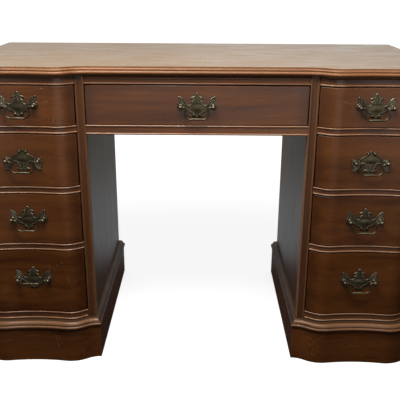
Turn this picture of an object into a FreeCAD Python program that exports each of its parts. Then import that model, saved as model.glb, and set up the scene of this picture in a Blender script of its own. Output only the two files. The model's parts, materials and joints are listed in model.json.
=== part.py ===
import FreeCAD, Part
import os
import re

import Sketcher

# Pedestal desk in dark hardwood: two pedestals of four drawers, a centre drawer over the kneehole,
# serpentine drawer fronts and a bail pull on every drawer. Millimetres, +Z up, the user stands at -Y.
# The origin is on the floor, at the middle of the whole desk.

SIZES = {
    # across the front
    "kneehole_width": 526.0,
    "stile_width": 21.0,
    "drawer_opening_width": 260.0,
    "panel_recess": 4.0,
    # front to back
    "case_depth": 500.0,
    "stile_depth": 24.0,
    "rail_depth": 46.0,
    "back_panel_thickness": 6.0,
    "back_rail_thickness": 19.0,
    # floor to top
    "plinth_height": 94.0,
    "base_moulding_height": 18.0,
    "bottom_rail_height": 21.0,
    "bottom_opening_height": 174.0,
    "middle_opening_height": 131.0,
    "top_opening_height": 95.5,
    "rail_height": 18.5,
    "top_rail_height": 23.0,
    "kneehole_rail_height": 23.5,
    # desk top and its moulded edge
    "top_thickness": 19.0,
    "top_front_overhang": 12.0,
    "top_side_overhang": 20.0,
    "top_back_overhang": 10.0,
    "top_edge_depth": 8.0,
    # serpentine front: two lobes with a hollow between them
    "lobe_spacing": 168.0,
    "lobe_radius": 58.0,
    "lobe_depth": 24.0,
    "lobe_rise": 6.5,
    "lobe_proud": 18.7,
    # beads on the stiles and rails, cove under the top
    "bead_radius": 2.2,
    "bead_inset": 1.2,
    "cove_step": 6.0,
    "cove_height": 9.0,
    # plinth and base moulding
    "plinth_front_step": 22.0,
    "plinth_side_step": 11.5,
    "plinth_board": 20.0,
    "nose_step": 4.5,
    "base_strip_width": 51.0,
    "base_edge_depth": 20.0,
    "block_leg": 38.0,
    "block_height": 70.0,
    "bottom_board": 6.0,
    # runners and cleats inside the case
    "runner_width": 20.0,
    "cleat_section": 20.0,
    # drawers
    "drawer_gap": 1.5,
    "centre_drawer_gap": 2.5,
    "drawer_foot_gap": 1.0,
    "slide_gap": 0.3,
    "drawer_front_seat": 20.0,
    "centre_front_thickness": 20.0,
    "drawer_side_thickness": 12.0,
    "drawer_side_top_gap": 6.0,
    "drawer_back_thickness": 12.0,
    "drawer_back_drop": 6.0,
    "drawer_back_room": 24.0,
    "drawer_bottom_thickness": 5.0,
    "drawer_bottom_rise": 9.0,
    "groove_depth": 5.0,
    "tail_length": 12.0,
    "tail_pitch": 30.0,
    # pulls
    "post_spacing": 76.2,
    "pull_rise": 1.5,
    "bottom_pull_rise": 8.8,
    "centre_pull_drop": 1.9,
    "plate_thickness": 2.0,
    "plate_gap": 0.1,
    "plate_rise": 33.0,
    "plate_drop": 28.0,
    "plate_lobe": 9.0,
    "post_reach": 13.0,
    "post_collar_radius": 5.4,
    "post_collar_height": 2.2,
    "post_neck_radius": 3.2,
    "post_ball_radius": 4.8,
    "shank_radius": 2.2,
    "shank_gap": 0.15,
    "shank_end": 1.5,
    "nut_radius": 5.0,
    "nut_height": 3.2,
    "bail_radius": 2.2,
    "bail_drop": 28.0,
    "bail_inset": 12.0,
    "bail_neck_bend": 5.0,
    "bail_corner_bend": 9.0,
    "bail_end_gap": 0.4,
    "raised_bail_angle": 102.0,
    "pin_radius": 1.6,
    "pin_gap": 0.05,
    "pin_seat": 1.0,
    "pin_end_gap": 0.3,
    # how far every cut runs past the wood
    "cut_overrun": 2.0,
}

# Dovetails: half width of a tail at its tip and root, as shares of the pitch.
tail_tip_share = 0.36
tail_root_share = 0.28

# Moulded edge of the desk top, underside first: shares of its depth and of the thickness.
TOP_EDGE_SHARES = [
    (0.52, 0.04),
    (0.00, 0.28, 0.52, 0.52),
    (0.40, 0.58),
    (0.50, 0.76, 0.81, 0.82),
    (1.00, 0.82),
]

# Moulded edge of the base, underside first: shares of its depth and height.
BASE_EDGE_SHARES = [
    (0.16, 0.00),
    (0.00, 0.24, 0.16, 0.48),
    (0.27, 0.48),
    (0.27, 0.56),
    (0.42, 0.86, 0.85, 1.00),
]

# Right half of the pull plate from its top tip to its bottom tip: shares of the half width, and of the
# rise above or the drop below the posts.
PLATE_SHARES = [
    (0.000, 1.00),
    (0.110, 0.879, 0.119, 0.712),
    (0.229, 0.697, 0.340, 0.588),
    (0.244, 0.552, 0.174, 0.461),
    (0.242, 0.424, 0.306, 0.309),
    (0.268, 0.267, 0.280, 0.200),
    (0.393, 0.109, 0.520, 0.242),
    (0.643, 0.503, 0.811, 0.691),
    (0.887, 0.715, 0.934, 0.630),
    (0.904, 0.479, 0.909, 0.291),
    (1.000, 0.015, 0.887, -0.293),
    (0.739, -0.236, 0.611, -0.121),
    (0.450, -0.400, 0.225, -0.571),
    (0.191, -0.650, 0.229, -0.743),
    (0.204, -0.893, 0.102, -0.821),
    (0.059, -0.914, 0.000, -1.000),
]

# Cove under the desk top: where it starts and how far it is hollowed, as shares of its step and height.
cove_start_share = 0.30
cove_hollow_shares = (0.45, 0.65)

# Places worked out from the sizes, written as formulas in their names.
PEDESTAL_HALF = "(drawer_opening_width / 2 + stile_width)"
PEDESTAL_X = f"(kneehole_width / 2 + {PEDESTAL_HALF})"
PEDESTAL_STEP = f"(2 * {PEDESTAL_X})"
OPENING_HALF = "(drawer_opening_width / 2)"
PANEL_THICKNESS = "(stile_width - panel_recess)"
TOP_HALF = f"({PEDESTAL_X} + {PEDESTAL_HALF} + top_side_overhang)"

BACK_PANEL_Y = "(case_depth - back_panel_thickness)"

CASE_Z = "(plinth_height + base_moulding_height)"
BOTTOM_Z = f"({CASE_Z} + bottom_rail_height)"
THIRD_Z = f"({BOTTOM_Z} + bottom_opening_height + rail_height)"
SECOND_Z = f"({THIRD_Z} + middle_opening_height + rail_height)"
FIRST_Z = f"({SECOND_Z} + middle_opening_height + rail_height)"
TOP_RAIL_Z = f"({FIRST_Z} + top_opening_height)"
TOP_Z = f"({TOP_RAIL_Z} + top_rail_height)"
CASE_HEIGHT = f"({TOP_Z} - {CASE_Z})"
RUNNER_HEIGHT = "(bottom_rail_height - bottom_board)"

# The serpentine is made of tangent arcs: hollow, lobes and the runs out to the flat ends.
LOBE_X = "(lobe_spacing / 2)"
CURVE_END = f"({PEDESTAL_HALF} + plinth_side_step)"
END_RUN = f"({CURVE_END} - {LOBE_X})"
FLAT_Y = "(lobe_depth - lobe_proud)"
HOLLOW_Y = "(lobe_rise - lobe_proud)"
HOLLOW_SUM = f"(({LOBE_X}^2 + lobe_rise^2) / (2 * lobe_rise))"
END_SUM = f"(({END_RUN}^2 + lobe_depth^2) / (2 * lobe_depth))"
LOBE_CENTRE_Y = "(lobe_radius - lobe_proud)"
HOLLOW_CENTRE_Y = f"({HOLLOW_Y} - {HOLLOW_SUM} + lobe_radius)"
END_CENTRE_Y = f"({FLAT_Y} - {END_SUM} + lobe_radius)"

# A curved pull plate is formed to the hollow, and its posts seat on its most forward ring. One bail stands
# raised, in front of the base, so the desk's middle is measured from it or from the base.
HOLLOW_RADIUS = f"({HOLLOW_SUM} - lobe_radius)"
RING_X = "(post_spacing / 2 + post_collar_radius)"
RING_RISE = f"({HOLLOW_RADIUS} - sqrt({HOLLOW_RADIUS}^2 - {RING_X}^2))"
CURVED_SEAT = f"({HOLLOW_Y} - plate_gap - plate_thickness - {RING_RISE})"
RAISED_REACH = f"(post_reach - {CURVED_SEAT} + bail_drop * sin(raised_bail_angle) + bail_radius)"
BASE_REACH = "(lobe_proud + plinth_front_step + nose_step)"
FRONT_Y = f"((max({RAISED_REACH}; {BASE_REACH}) - case_depth - top_back_overhang) / 2)"

doc = FreeCAD.newDocument("pedestal_desk")
sheet = doc.addObject("Spreadsheet::Sheet", "Sizes")
for row, (size_name, size_value) in enumerate(SIZES.items(), start=1):
    sheet.set(f"A{row}", size_name)
    sheet.set(f"B{row}", str(size_value))
    sheet.setAlias(f"B{row}", size_name)
doc.recompute()

nodes = []
places = {}


def linked(formula):
    """Point every size name in a formula at its cell."""
    return re.sub(r"[a-z_]+", lambda word: f"Sizes.{word[0]}" if word[0] in SIZES else word[0], formula)


def number(formula):
    """The value of a formula."""
    return float(sheet.evalExpression(linked(formula)))


def bind(thing, **formulas):
    """Tie properties of an object to formulas; two underscores stand for a full stop."""
    for name, formula in formulas.items():
        thing.setExpression(name.replace("__", "."), linked(formula))


def put(thing, x, y, z):
    """Put an object's origin at three formulas, and keep them for its copies."""
    bind(thing, Placement__Base__x=x, Placement__Base__y=y, Placement__Base__z=z)
    places[thing.Name] = (x, y, z)
    return thing


def place(thing, x="0", y="0", z="0"):
    """Put an object at x and z, and at y behind the front of the stiles."""
    return put(thing, x, f"({FRONT_Y} + {y})", z)


def node(thing):
    """Mark an object as one sub-part of the desk."""
    nodes.append(thing)
    return thing


def board(name, x, y, z, length, width, height):
    """A plain board: its left, front, lower corner, then its size along X, Y and Z."""
    piece = doc.addObject("Part::Box", name)
    bind(piece, Length=length, Width=width, Height=height)
    return place(piece, x, y, z)


def group(name, pieces):
    """Separate solids that share one sub-part."""
    together = doc.addObject("Part::Compound", name)
    together.Links = pieces
    return put(together, "0", "0", "0")


def copy_of(source, name, shift_x="0", shift_z="0"):
    """The same piece again, moved sideways or up."""
    again = doc.addObject("App::Link", name)
    again.LinkedObject = source
    again.Label = name
    x, y, z = places[source.Name]
    return put(again, f"({x} + {shift_x})", y, f"({z} + {shift_z})")


def sketch_on(body, plane_role, name, lift="0"):
    """A sketch on one of the body's own planes, lifted along that plane's normal."""
    plane = next(one for one in body.Origin.OriginFeatures if one.Role == plane_role)
    sketch = body.newObject("Sketcher::SketchObject", name)
    sketch.AttachmentSupport = [(plane, "")]
    sketch.MapMode = "FlatFace"
    bind(sketch, AttachmentOffset__Base__z=lift)
    return sketch


def spot(place_pair):
    """A pair of formulas as a point of a sketch."""
    return FreeCAD.Vector(number(place_pair[0]), number(place_pair[1]), 0)


def constrain(sketch, rules):
    """Add constraints, each with the formula that drives it or None."""
    first = sketch.ConstraintCount
    sketch.addConstraint([rule for rule, _ in rules])
    for index, (_, formula) in enumerate(rules, start=first):
        if formula is not None:
            sketch.setExpression(f"Constraints[{index}]", linked(formula))


def pins(edge, end, place_pair):
    """Constraints that hold one end of an edge at a pair of formulas."""
    return [
        (Sketcher.Constraint(way, -1, 1, edge, end, number(formula)), formula)
        for way, formula in zip(("DistanceX", "DistanceY"), place_pair)
    ]


def draw(sketch, outline, closed=True):
    """Lines and arcs from point to point: a pair is a line's end, two pairs an arc's middle and end.

    A closed outline that stops short of its first point ends with a line back to it.
    """
    rules = []
    corner = outline[0]
    first = last = None
    steps = list(outline[1:])
    if closed and steps[-1][-2:] != outline[0]:
        steps.append(outline[0])
    for count, step in enumerate(steps, start=1):
        start = spot(corner)
        corner = step[-2:]
        if len(step) == 4:
            edge = sketch.addGeometry(Part.Arc(start, spot(step[:2]), spot(corner)))
            middle = sketch.addGeometry(Part.Point(spot(step[:2])), True)
            rules += pins(middle, 1, step[:2])
            rules.append((Sketcher.Constraint("PointOnObject", middle, 1, edge), None))
        else:
            edge = sketch.addGeometry(Part.LineSegment(start, spot(corner)))
        to_start = [(sketch.getPoint(edge, end) - start).Length for end in (1, 2)]
        near, far = (1, 2) if to_start[0] < to_start[1] else (2, 1)
        if last is None:
            first = (edge, near)
            rules += pins(edge, near, outline[0])
        else:
            rules.append((Sketcher.Constraint("Coincident", *last, edge, near), None))
        last = (edge, far)
        if closed and count == len(steps):
            rules.append((Sketcher.Constraint("Coincident", *last, *first), None))
        else:
            rules += pins(edge, far, corner)
    constrain(sketch, rules)
    return sketch


def circle(sketch, x, y, radius):
    """A circle about a point of the sketch."""
    ring = Part.Circle(spot((x, y)), FreeCAD.Vector(0, 0, 1), number(radius))
    edge = sketch.addGeometry(ring)
    rules = pins(edge, 3, (x, y))
    rules.append((Sketcher.Constraint("Radius", edge, number(radius)), radius))
    constrain(sketch, rules)
    return sketch


def new_body(name):
    """An empty body."""
    return doc.addObject("PartDesign::Body", name)


def pad(body, sketch, length, both_ways=False, backwards=False):
    """Thicken a sketch into wood or metal."""
    feature = body.newObject("PartDesign::Pad", f"{sketch.Name}_pad")
    feature.Profile = sketch
    bind(feature, Length=length)
    feature.Midplane = both_ways
    feature.Reversed = backwards
    return feature


def cut(body, sketch, length=None, both_ways=False, backwards=False):
    """Cut a sketch out of the body, to a depth or right through, and see that wood came away."""
    doc.recompute()
    before = body.Shape.Volume
    feature = body.newObject("PartDesign::Pocket", f"{sketch.Name}_cut")
    feature.Profile = sketch
    if length is None:
        feature.Type = "ThroughAll"
    else:
        bind(feature, Length=length)
    feature.Midplane = both_ways
    feature.Reversed = backwards
    doc.recompute()
    if not body.Shape.Volume < before:
        raise RuntimeError(f"{sketch.Name} cuts nothing")
    return feature


def run_moulding(body, track, waste, start_x):
    """Carry the waste beside a moulding along its track and cut it away."""
    doc.recompute()
    before = body.Shape.Volume
    track_sketch = draw(sketch_on(body, "XY_Plane", f"{body.Name}_track"), track, closed=False)
    waste_sketch = draw(sketch_on(body, "YZ_Plane", f"{body.Name}_waste", lift=start_x), waste)
    feature = body.newObject("PartDesign::SubtractivePipe", f"{body.Name}_moulding")
    feature.Profile = waste_sketch
    feature.Spine = (track_sketch, [])
    doc.recompute()
    if not body.Shape.Volume < before:
        raise RuntimeError(f"{body.Name} has no moulding")


def serpentine(offset, half_width, centre="0"):
    """The front curve of a pedestal from left to right, standing proud of the drawer fronts by an offset.

    Five tangent arcs: run-out, lobe, hollow, lobe, run-out. Parallel curves share the arcs' centres, so
    an offset adds to the radius of the lobes and takes from the others.
    """
    lobe = f"(lobe_radius + {offset})"
    end_radius = f"({END_SUM} - {lobe})"
    inner_x = f"({LOBE_X} * (1 - {lobe} / {HOLLOW_SUM}))"
    inner_y = f"({LOBE_CENTRE_Y} + ({HOLLOW_CENTRE_Y} - {LOBE_CENTRE_Y}) * {lobe} / {HOLLOW_SUM})"
    outer_x = f"({LOBE_X} + {END_RUN} * {lobe} / {END_SUM})"
    outer_y = f"({LOBE_CENTRE_Y} + ({END_CENTRE_Y} - {LOBE_CENTRE_Y}) * {lobe} / {END_SUM})"
    middle_x = f"(({outer_x} + {half_width}) / 2)"

    def run_out(x):
        return f"({END_CENTRE_Y} + sqrt({end_radius}^2 - ({CURVE_END} - {x})^2))"

    tip_y = f"(0 - lobe_proud - {offset})"
    hollow_y = f"({HOLLOW_Y} - {offset})"
    return [
        (f"({centre} - {half_width})", run_out(half_width)),
        (f"({centre} - {middle_x})", run_out(middle_x), f"({centre} - {outer_x})", outer_y),
        (f"({centre} - {LOBE_X})", tip_y, f"({centre} - {inner_x})", inner_y),
        (f"({centre})", hollow_y, f"({centre} + {inner_x})", inner_y),
        (f"({centre} + {LOBE_X})", tip_y, f"({centre} + {outer_x})", outer_y),
        (f"({centre} + {middle_x})", run_out(middle_x), f"({centre} + {half_width})", run_out(half_width)),
    ]


def edge_steps(shares, depth, height, outer, sign="1"):
    """A moulded edge from its table of shares: depth in from the outer face, height up from below."""
    steps = []
    for row in shares:
        step = []
        for deep, high in zip(row[0::2], row[1::2]):
            step += [f"({outer} + {sign} * {deep} * {depth})", f"({high} * {height})"]
        steps.append(tuple(step))
    return steps


def waste_beside(steps, outer, height, sign="1"):
    """Close the steps of a moulded edge round the wood outside it."""
    far = f"({outer} - {sign} * cut_overrun)"
    under = "(0 - cut_overrun)"
    over = f"({height} + cut_overrun)"
    return [(far, under), (steps[0][0], under)] + steps + [(steps[-1][-2], over), (far, over)]


def beaded_steps(face, height, cove=False):
    """The front of a rail from below: a bead, a flat, and above it another bead or the cove."""
    nose = f"({face} - bead_radius)"
    steps = [(face, "0"), (nose, "bead_radius", face, "(2 * bead_radius)")]
    if cove:
        start_y = f"({face} - {cove_start_share} * cove_step)"
        start_z = f"({height} - cove_height)"
        hollow_y = f"({face} - {cove_hollow_shares[0]} * cove_step)"
        hollow_z = f"({start_z} + {cove_hollow_shares[1]} * cove_height)"
        steps += [(face, start_z), (start_y, start_z), (hollow_y, hollow_z, f"({face} - cove_step)", height)]
    else:
        steps += [(face, f"({height} - 2 * bead_radius)"), (nose, f"({height} - bead_radius)", face, height)]
    return steps


def serpentine_rail(name, z, height, cove=False):
    """A front rail between the stiles of the left pedestal."""
    reach = "(cove_step - bead_inset)" if cove else "(bead_radius - bead_inset)"
    body = new_body(name)
    front = serpentine(reach, OPENING_HALF)
    plan = front + [(OPENING_HALF, "rail_depth"), (f"(0 - {OPENING_HALF})", "rail_depth")]
    pad(body, draw(sketch_on(body, "XY_Plane", f"{name}_plan"), plan), height)
    steps = beaded_steps(f"({FLAT_Y} + bead_inset)", height, cove)
    waste = waste_beside(steps, f"({FLAT_Y} - {reach})", height)
    run_moulding(body, serpentine("0", CURVE_END), waste, f"(0 - {CURVE_END})")
    return place(body, x=f"(0 - {PEDESTAL_X})", z=z)


def kneehole_rail(name, z, height, cove=False):
    """A straight front rail over the kneehole, with the same edges."""
    body = new_body(name)
    steps = beaded_steps("(bead_radius + bead_inset)", height, cove)
    section = [("stile_depth", "0")] + steps + [("stile_depth", height)]
    pad(body, draw(sketch_on(body, "YZ_Plane", f"{name}_section"), section), "kneehole_width", both_ways=True)
    return place(body, z=z)


def make_desk_top():
    """The top: one board with a moulded edge along the serpentine front and the two ends."""
    body = new_body("desk_top")
    left = serpentine("top_front_overhang", CURVE_END, f"(0 - {PEDESTAL_X})")
    right = serpentine("top_front_overhang", CURVE_END, PEDESTAL_X)
    nose_y = f"({FLAT_Y} - top_front_overhang)"
    back_y = "(case_depth + top_back_overhang)"
    front = [(f"(0 - {TOP_HALF})", nose_y)] + left + right + [(TOP_HALF, nose_y)]
    plan = front + [(TOP_HALF, back_y), (f"(0 - {TOP_HALF})", back_y)]
    pad(body, draw(sketch_on(body, "XY_Plane", "desk_top_plan"), plan), "top_thickness")
    past_end = f"({TOP_HALF} + cut_overrun)"
    track = [(f"(0 - {past_end})", nose_y)] + left + right + [(past_end, nose_y)]
    steps = edge_steps(TOP_EDGE_SHARES, "top_edge_depth", "top_thickness", nose_y)
    run_moulding(body, track, waste_beside(steps, nose_y, "top_thickness"), f"(0 - {past_end})")
    for side, sign in (("left", "1"), ("right", "(-1)")):
        outer = f"(0 - {sign} * {TOP_HALF})"
        steps = edge_steps(TOP_EDGE_SHARES, "top_edge_depth", "top_thickness", outer, sign)
        end_waste = waste_beside(steps, outer, "top_thickness", sign)
        cut(body, draw(sketch_on(body, "XZ_Plane", f"desk_top_{side}_end"), end_waste), both_ways=True)
    return node(place(body, z=TOP_Z))


def make_panels():
    """The side panels of both pedestals and the thin backs between them."""
    for side, sign in (("left", "(-1)"), ("right", "1")):
        for which, away in (("outer", sign), ("inner", f"(0 - {sign})")):
            middle = f"({sign} * {PEDESTAL_X} + {away} * ({OPENING_HALF} + {PANEL_THICKNESS} / 2))"
            node(board(
                f"{side}_{which}_panel", f"({middle} - {PANEL_THICKNESS} / 2)", "stile_depth", CASE_Z,
                PANEL_THICKNESS, "(case_depth - stile_depth)", CASE_HEIGHT,
            ))
        node(board(
            f"{side}_back_panel", f"({sign} * {PEDESTAL_X} - {OPENING_HALF})", BACK_PANEL_Y, CASE_Z,
            "drawer_opening_width", "back_panel_thickness", CASE_HEIGHT,
        ))


def make_stiles():
    """The pair of front stiles of each pedestal, with a bead down both edges."""
    section = [
        ("0", "stile_depth"),
        ("0", "bead_radius"),
        ("bead_radius", "0", "(2 * bead_radius)", "bead_radius"),
        ("(stile_width - 2 * bead_radius)", "bead_radius"),
        ("(stile_width - bead_radius)", "0", "stile_width", "bead_radius"),
        ("stile_width", "stile_depth"),
    ]
    body = new_body("left_outer_stile")
    pad(body, draw(sketch_on(body, "XY_Plane", "stile_section"), section), CASE_HEIGHT)
    place(body, x=f"(0 - {PEDESTAL_X} - {PEDESTAL_HALF})", z=CASE_Z)
    inner = copy_of(body, "left_inner_stile", "(drawer_opening_width + stile_width)")
    pair = node(group("left_stiles", [body, inner]))
    node(copy_of(pair, "right_stiles", PEDESTAL_STEP))


def make_rails():
    """Five beaded serpentine rails in each pedestal, and the two straight ones over the kneehole."""
    divider = serpentine_rail("left_first_divider", f"({FIRST_Z} - rail_height)", "rail_height")
    lower = [
        copy_of(divider, "left_second_divider", shift_z="(0 - middle_opening_height - rail_height)"),
        copy_of(divider, "left_third_divider", shift_z="(0 - 2 * (middle_opening_height + rail_height))"),
    ]
    bottom = serpentine_rail("left_bottom_rail", CASE_Z, "bottom_rail_height")
    top = serpentine_rail("left_top_rail", TOP_RAIL_Z, "top_rail_height", cove=True)
    rails = node(group("left_drawer_rails", [top, divider] + lower + [bottom]))
    node(copy_of(rails, "right_drawer_rails", PEDESTAL_STEP))
    node(kneehole_rail("kneehole_top_rail", TOP_RAIL_Z, "top_rail_height", cove=True))
    node(kneehole_rail("kneehole_lower_rail", f"({FIRST_Z} - kneehole_rail_height)", "kneehole_rail_height"))


def make_inner_case():
    """Runners under the drawers, bottom boards, the back rail of the kneehole and the cleats of the top."""
    run_length = f"({BACK_PANEL_Y} - rail_depth)"
    left_side = f"(0 - {PEDESTAL_X} - {OPENING_HALF})"
    right_side = f"({OPENING_HALF} - {PEDESTAL_X} - runner_width)"
    levels = {"first": FIRST_Z, "second": SECOND_Z, "third": THIRD_Z, "bottom": BOTTOM_Z}
    runners = []
    for level, floor_z in levels.items():
        for hand, x in (("outer", left_side), ("inner", right_side)):
            runners.append(board(
                f"left_{level}_{hand}_runner", x, "rail_depth", f"({floor_z} - {RUNNER_HEIGHT})",
                "runner_width", run_length, RUNNER_HEIGHT,
            ))
    pedestal_runners = node(group("left_drawer_runners", runners))
    node(copy_of(pedestal_runners, "right_drawer_runners", PEDESTAL_STEP))

    floor = board(
        "left_bottom_board", left_side, "rail_depth", CASE_Z,
        "drawer_opening_width", run_length, "bottom_board",
    )
    node(group("bottom_boards", [floor, copy_of(floor, "right_bottom_board", PEDESTAL_STEP)]))

    inner_face = "(kneehole_width / 2 + panel_recess)"
    reach = "(runner_width + panel_recess)"
    centre_length = "(case_depth - back_rail_thickness - stile_depth)"
    centre_runner = board(
        "kneehole_left_runner", f"(0 - {inner_face})", "stile_depth", f"({FIRST_Z} - {RUNNER_HEIGHT})",
        reach, centre_length, RUNNER_HEIGHT,
    )
    other = copy_of(centre_runner, "kneehole_right_runner", f"(2 * {inner_face} - {reach})")
    node(group("kneehole_runners", [centre_runner, other]))
    node(board(
        "kneehole_back_rail", f"(0 - {inner_face})", "(case_depth - back_rail_thickness)",
        f"({FIRST_Z} - kneehole_rail_height)", f"(2 * {inner_face})", "back_rail_thickness",
        f"({TOP_Z} - {FIRST_Z} + kneehole_rail_height)",
    ))

    outer_cleat = board(
        "left_outer_cleat", left_side, "rail_depth", f"({TOP_Z} - cleat_section)",
        "cleat_section", run_length, "cleat_section",
    )
    inner_cleat = copy_of(outer_cleat, "left_inner_cleat", "(drawer_opening_width - cleat_section)")
    cleats = [outer_cleat, inner_cleat]
    for cleat in (outer_cleat, inner_cleat):
        cleats.append(copy_of(cleat, cleat.Name.replace("left", "right"), PEDESTAL_STEP))
    node(group("top_cleats", cleats))


def make_base_moulding():
    """The moulding on the plinth: a serpentine front length and two returns, mitred at the corners."""
    corner_x = f"({CURVE_END} + nose_step)"
    corner_y = f"({FLAT_Y} - plinth_front_step - nose_step)"
    inner_x = f"({corner_x} - base_strip_width)"
    inner_y = f"({corner_y} + base_strip_width)"
    name = "left_base_front"
    body = new_body(name)
    curve = serpentine("(plinth_front_step + nose_step)", CURVE_END)
    front = [(f"(0 - {corner_x})", corner_y)] + curve + [(corner_x, corner_y)]
    plan = front + [(inner_x, inner_y), (f"(0 - {inner_x})", inner_y)]
    pad(body, draw(sketch_on(body, "XY_Plane", f"{name}_plan"), plan), "base_moulding_height")
    past_end = f"({corner_x} + cut_overrun)"
    track = [(f"(0 - {past_end})", corner_y)] + curve + [(past_end, corner_y)]
    steps = edge_steps(BASE_EDGE_SHARES, "base_edge_depth", "base_moulding_height", corner_y)
    run_moulding(body, track, waste_beside(steps, corner_y, "base_moulding_height"), f"(0 - {past_end})")
    lengths = [place(body, x=f"(0 - {PEDESTAL_X})", z="plinth_height")]

    for side, sign in (("outer", "1"), ("inner", "(-1)")):
        name = f"left_base_{side}"
        body = new_body(name)
        outer = f"(0 - {sign} * {corner_x})"
        inside = f"(0 - {sign} * {inner_x})"
        plan = [(outer, corner_y), (outer, "case_depth"), (inside, "case_depth"), (inside, inner_y)]
        pad(body, draw(sketch_on(body, "XY_Plane", f"{name}_plan"), plan), "base_moulding_height")
        steps = edge_steps(BASE_EDGE_SHARES, "base_edge_depth", "base_moulding_height", outer, sign)
        waste = waste_beside(steps, outer, "base_moulding_height", sign)
        cut(body, draw(sketch_on(body, "XZ_Plane", f"{name}_waste"), waste), both_ways=True)
        lengths.append(place(body, x=f"(0 - {PEDESTAL_X})", z="plinth_height"))
    moulding = node(group("left_base_moulding", lengths))
    node(copy_of(moulding, "right_base_moulding", PEDESTAL_STEP))


def make_plinth():
    """Four boards under each pedestal, the front one serpentine, with glue blocks in the corners."""
    front_y = f"({FLAT_Y} - plinth_front_step)"
    inner_x = f"({CURVE_END} - plinth_board)"
    inner_y = f"({front_y} + plinth_board)"
    back_y = "(case_depth - plinth_board)"
    body = new_body("left_plinth_front")
    plan = serpentine("plinth_front_step", CURVE_END) + [(inner_x, inner_y), (f"(0 - {inner_x})", inner_y)]
    pad(body, draw(sketch_on(body, "XY_Plane", "left_plinth_front_plan"), plan), "plinth_height")
    boards = [place(body, x=f"(0 - {PEDESTAL_X})")]
    blocks = []
    for side, sign in (("outer", "(-1)"), ("inner", "1")):
        outer = f"({sign} * {CURVE_END})"
        inside = f"({sign} * {inner_x})"
        body = new_body(f"left_plinth_{side}")
        plan = [(outer, front_y), (outer, "case_depth"), (inside, "case_depth"), (inside, inner_y)]
        pad(body, draw(sketch_on(body, "XY_Plane", f"left_plinth_{side}_plan"), plan), "plinth_height")
        boards.append(place(body, x=f"(0 - {PEDESTAL_X})"))
        for end, y, into in (("front", inner_y, "1"), ("back", back_y, "(-1)")):
            name = f"left_{side}_{end}_block"
            block = new_body(name)
            plan = [
                (inside, y),
                (f"({inside} - {sign} * block_leg)", y),
                (inside, f"({y} + {into} * block_leg)"),
            ]
            pad(block, draw(sketch_on(block, "XY_Plane", f"{name}_plan"), plan), "block_height")
            blocks.append(place(block, x=f"(0 - {PEDESTAL_X})", z="(plinth_height - block_height)"))
    boards.append(board(
        "left_plinth_back", f"(0 - {PEDESTAL_X} - {inner_x})", back_y, "0",
        f"(2 * {inner_x})", "plinth_board", "plinth_height",
    ))
    plinth = node(group("left_plinth", boards))
    node(copy_of(plinth, "right_plinth", PEDESTAL_STEP))
    blocks += [copy_of(one, one.Name.replace("left", "right"), PEDESTAL_STEP) for one in list(blocks)]
    node(group("plinth_blocks", blocks))


def tail_rows(opening):
    """Height of the drawer sides and the middle and pitch of each of their dovetails."""
    low = "slide_gap"
    height = f"({opening} - drawer_side_top_gap - slide_gap)"
    count = max(2, round(number(height) / number("tail_pitch")))
    pitch = f"({height} / {count})"
    middles = [f"({low} + {pitch} * {2 * turn + 1} / 2)" for turn in range(count)]
    return low, f"({low} + {height})", pitch, middles


def tail_corners(seat, middle, pitch):
    """The four corners of one tail in the side view, from the upper root round to the lower."""
    tip = f"({seat} - tail_length)"
    return [
        (seat, f"({middle} + {tail_root_share} * {pitch})"),
        (tip, f"({middle} + {tail_tip_share} * {pitch})"),
        (tip, f"({middle} - {tail_tip_share} * {pitch})"),
        (seat, f"({middle} - {tail_root_share} * {pitch})"),
    ]


def drawer_front(name, curve, half, seat, opening, post_z):
    """A drawer front with the sockets of its dovetails, a groove for the bottom and the post holes."""
    body = new_body(name)
    plan = curve + [(half, seat), (f"(0 - {half})", seat)]
    blank = f"({opening} - drawer_gap - drawer_foot_gap)"
    pad(body, draw(sketch_on(body, "XY_Plane", f"{name}_plan", lift="drawer_foot_gap"), plan), blank)
    _, _, pitch, middles = tail_rows(opening)
    for hand, lift, backwards in (("right", half, False), ("left", f"(0 - {half})", True)):
        sockets = sketch_on(body, "YZ_Plane", f"{name}_{hand}_sockets", lift=lift)
        for middle in middles:
            draw(sockets, tail_corners(seat, middle, pitch))
        cut(body, sockets, "drawer_side_thickness", backwards=backwards)
    inside = f"({half} - drawer_side_thickness)"
    groove_low = "(slide_gap + drawer_bottom_rise)"
    groove_high = f"({groove_low} + drawer_bottom_thickness)"
    groove = sketch_on(body, "XZ_Plane", f"{name}_groove", lift=f"(0 - {seat})")
    draw(groove, [
        (f"(0 - {inside})", groove_low), (inside, groove_low),
        (inside, groove_high), (f"(0 - {inside})", groove_high),
    ])
    cut(body, groove, "groove_depth", backwards=True)
    holes = sketch_on(body, "XZ_Plane", f"{name}_post_holes")
    for x in ("(0 - post_spacing / 2)", "(post_spacing / 2)"):
        circle(holes, x, post_z, "(shank_radius + shank_gap)")
    cut(body, holes, both_ways=True)
    return body


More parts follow.
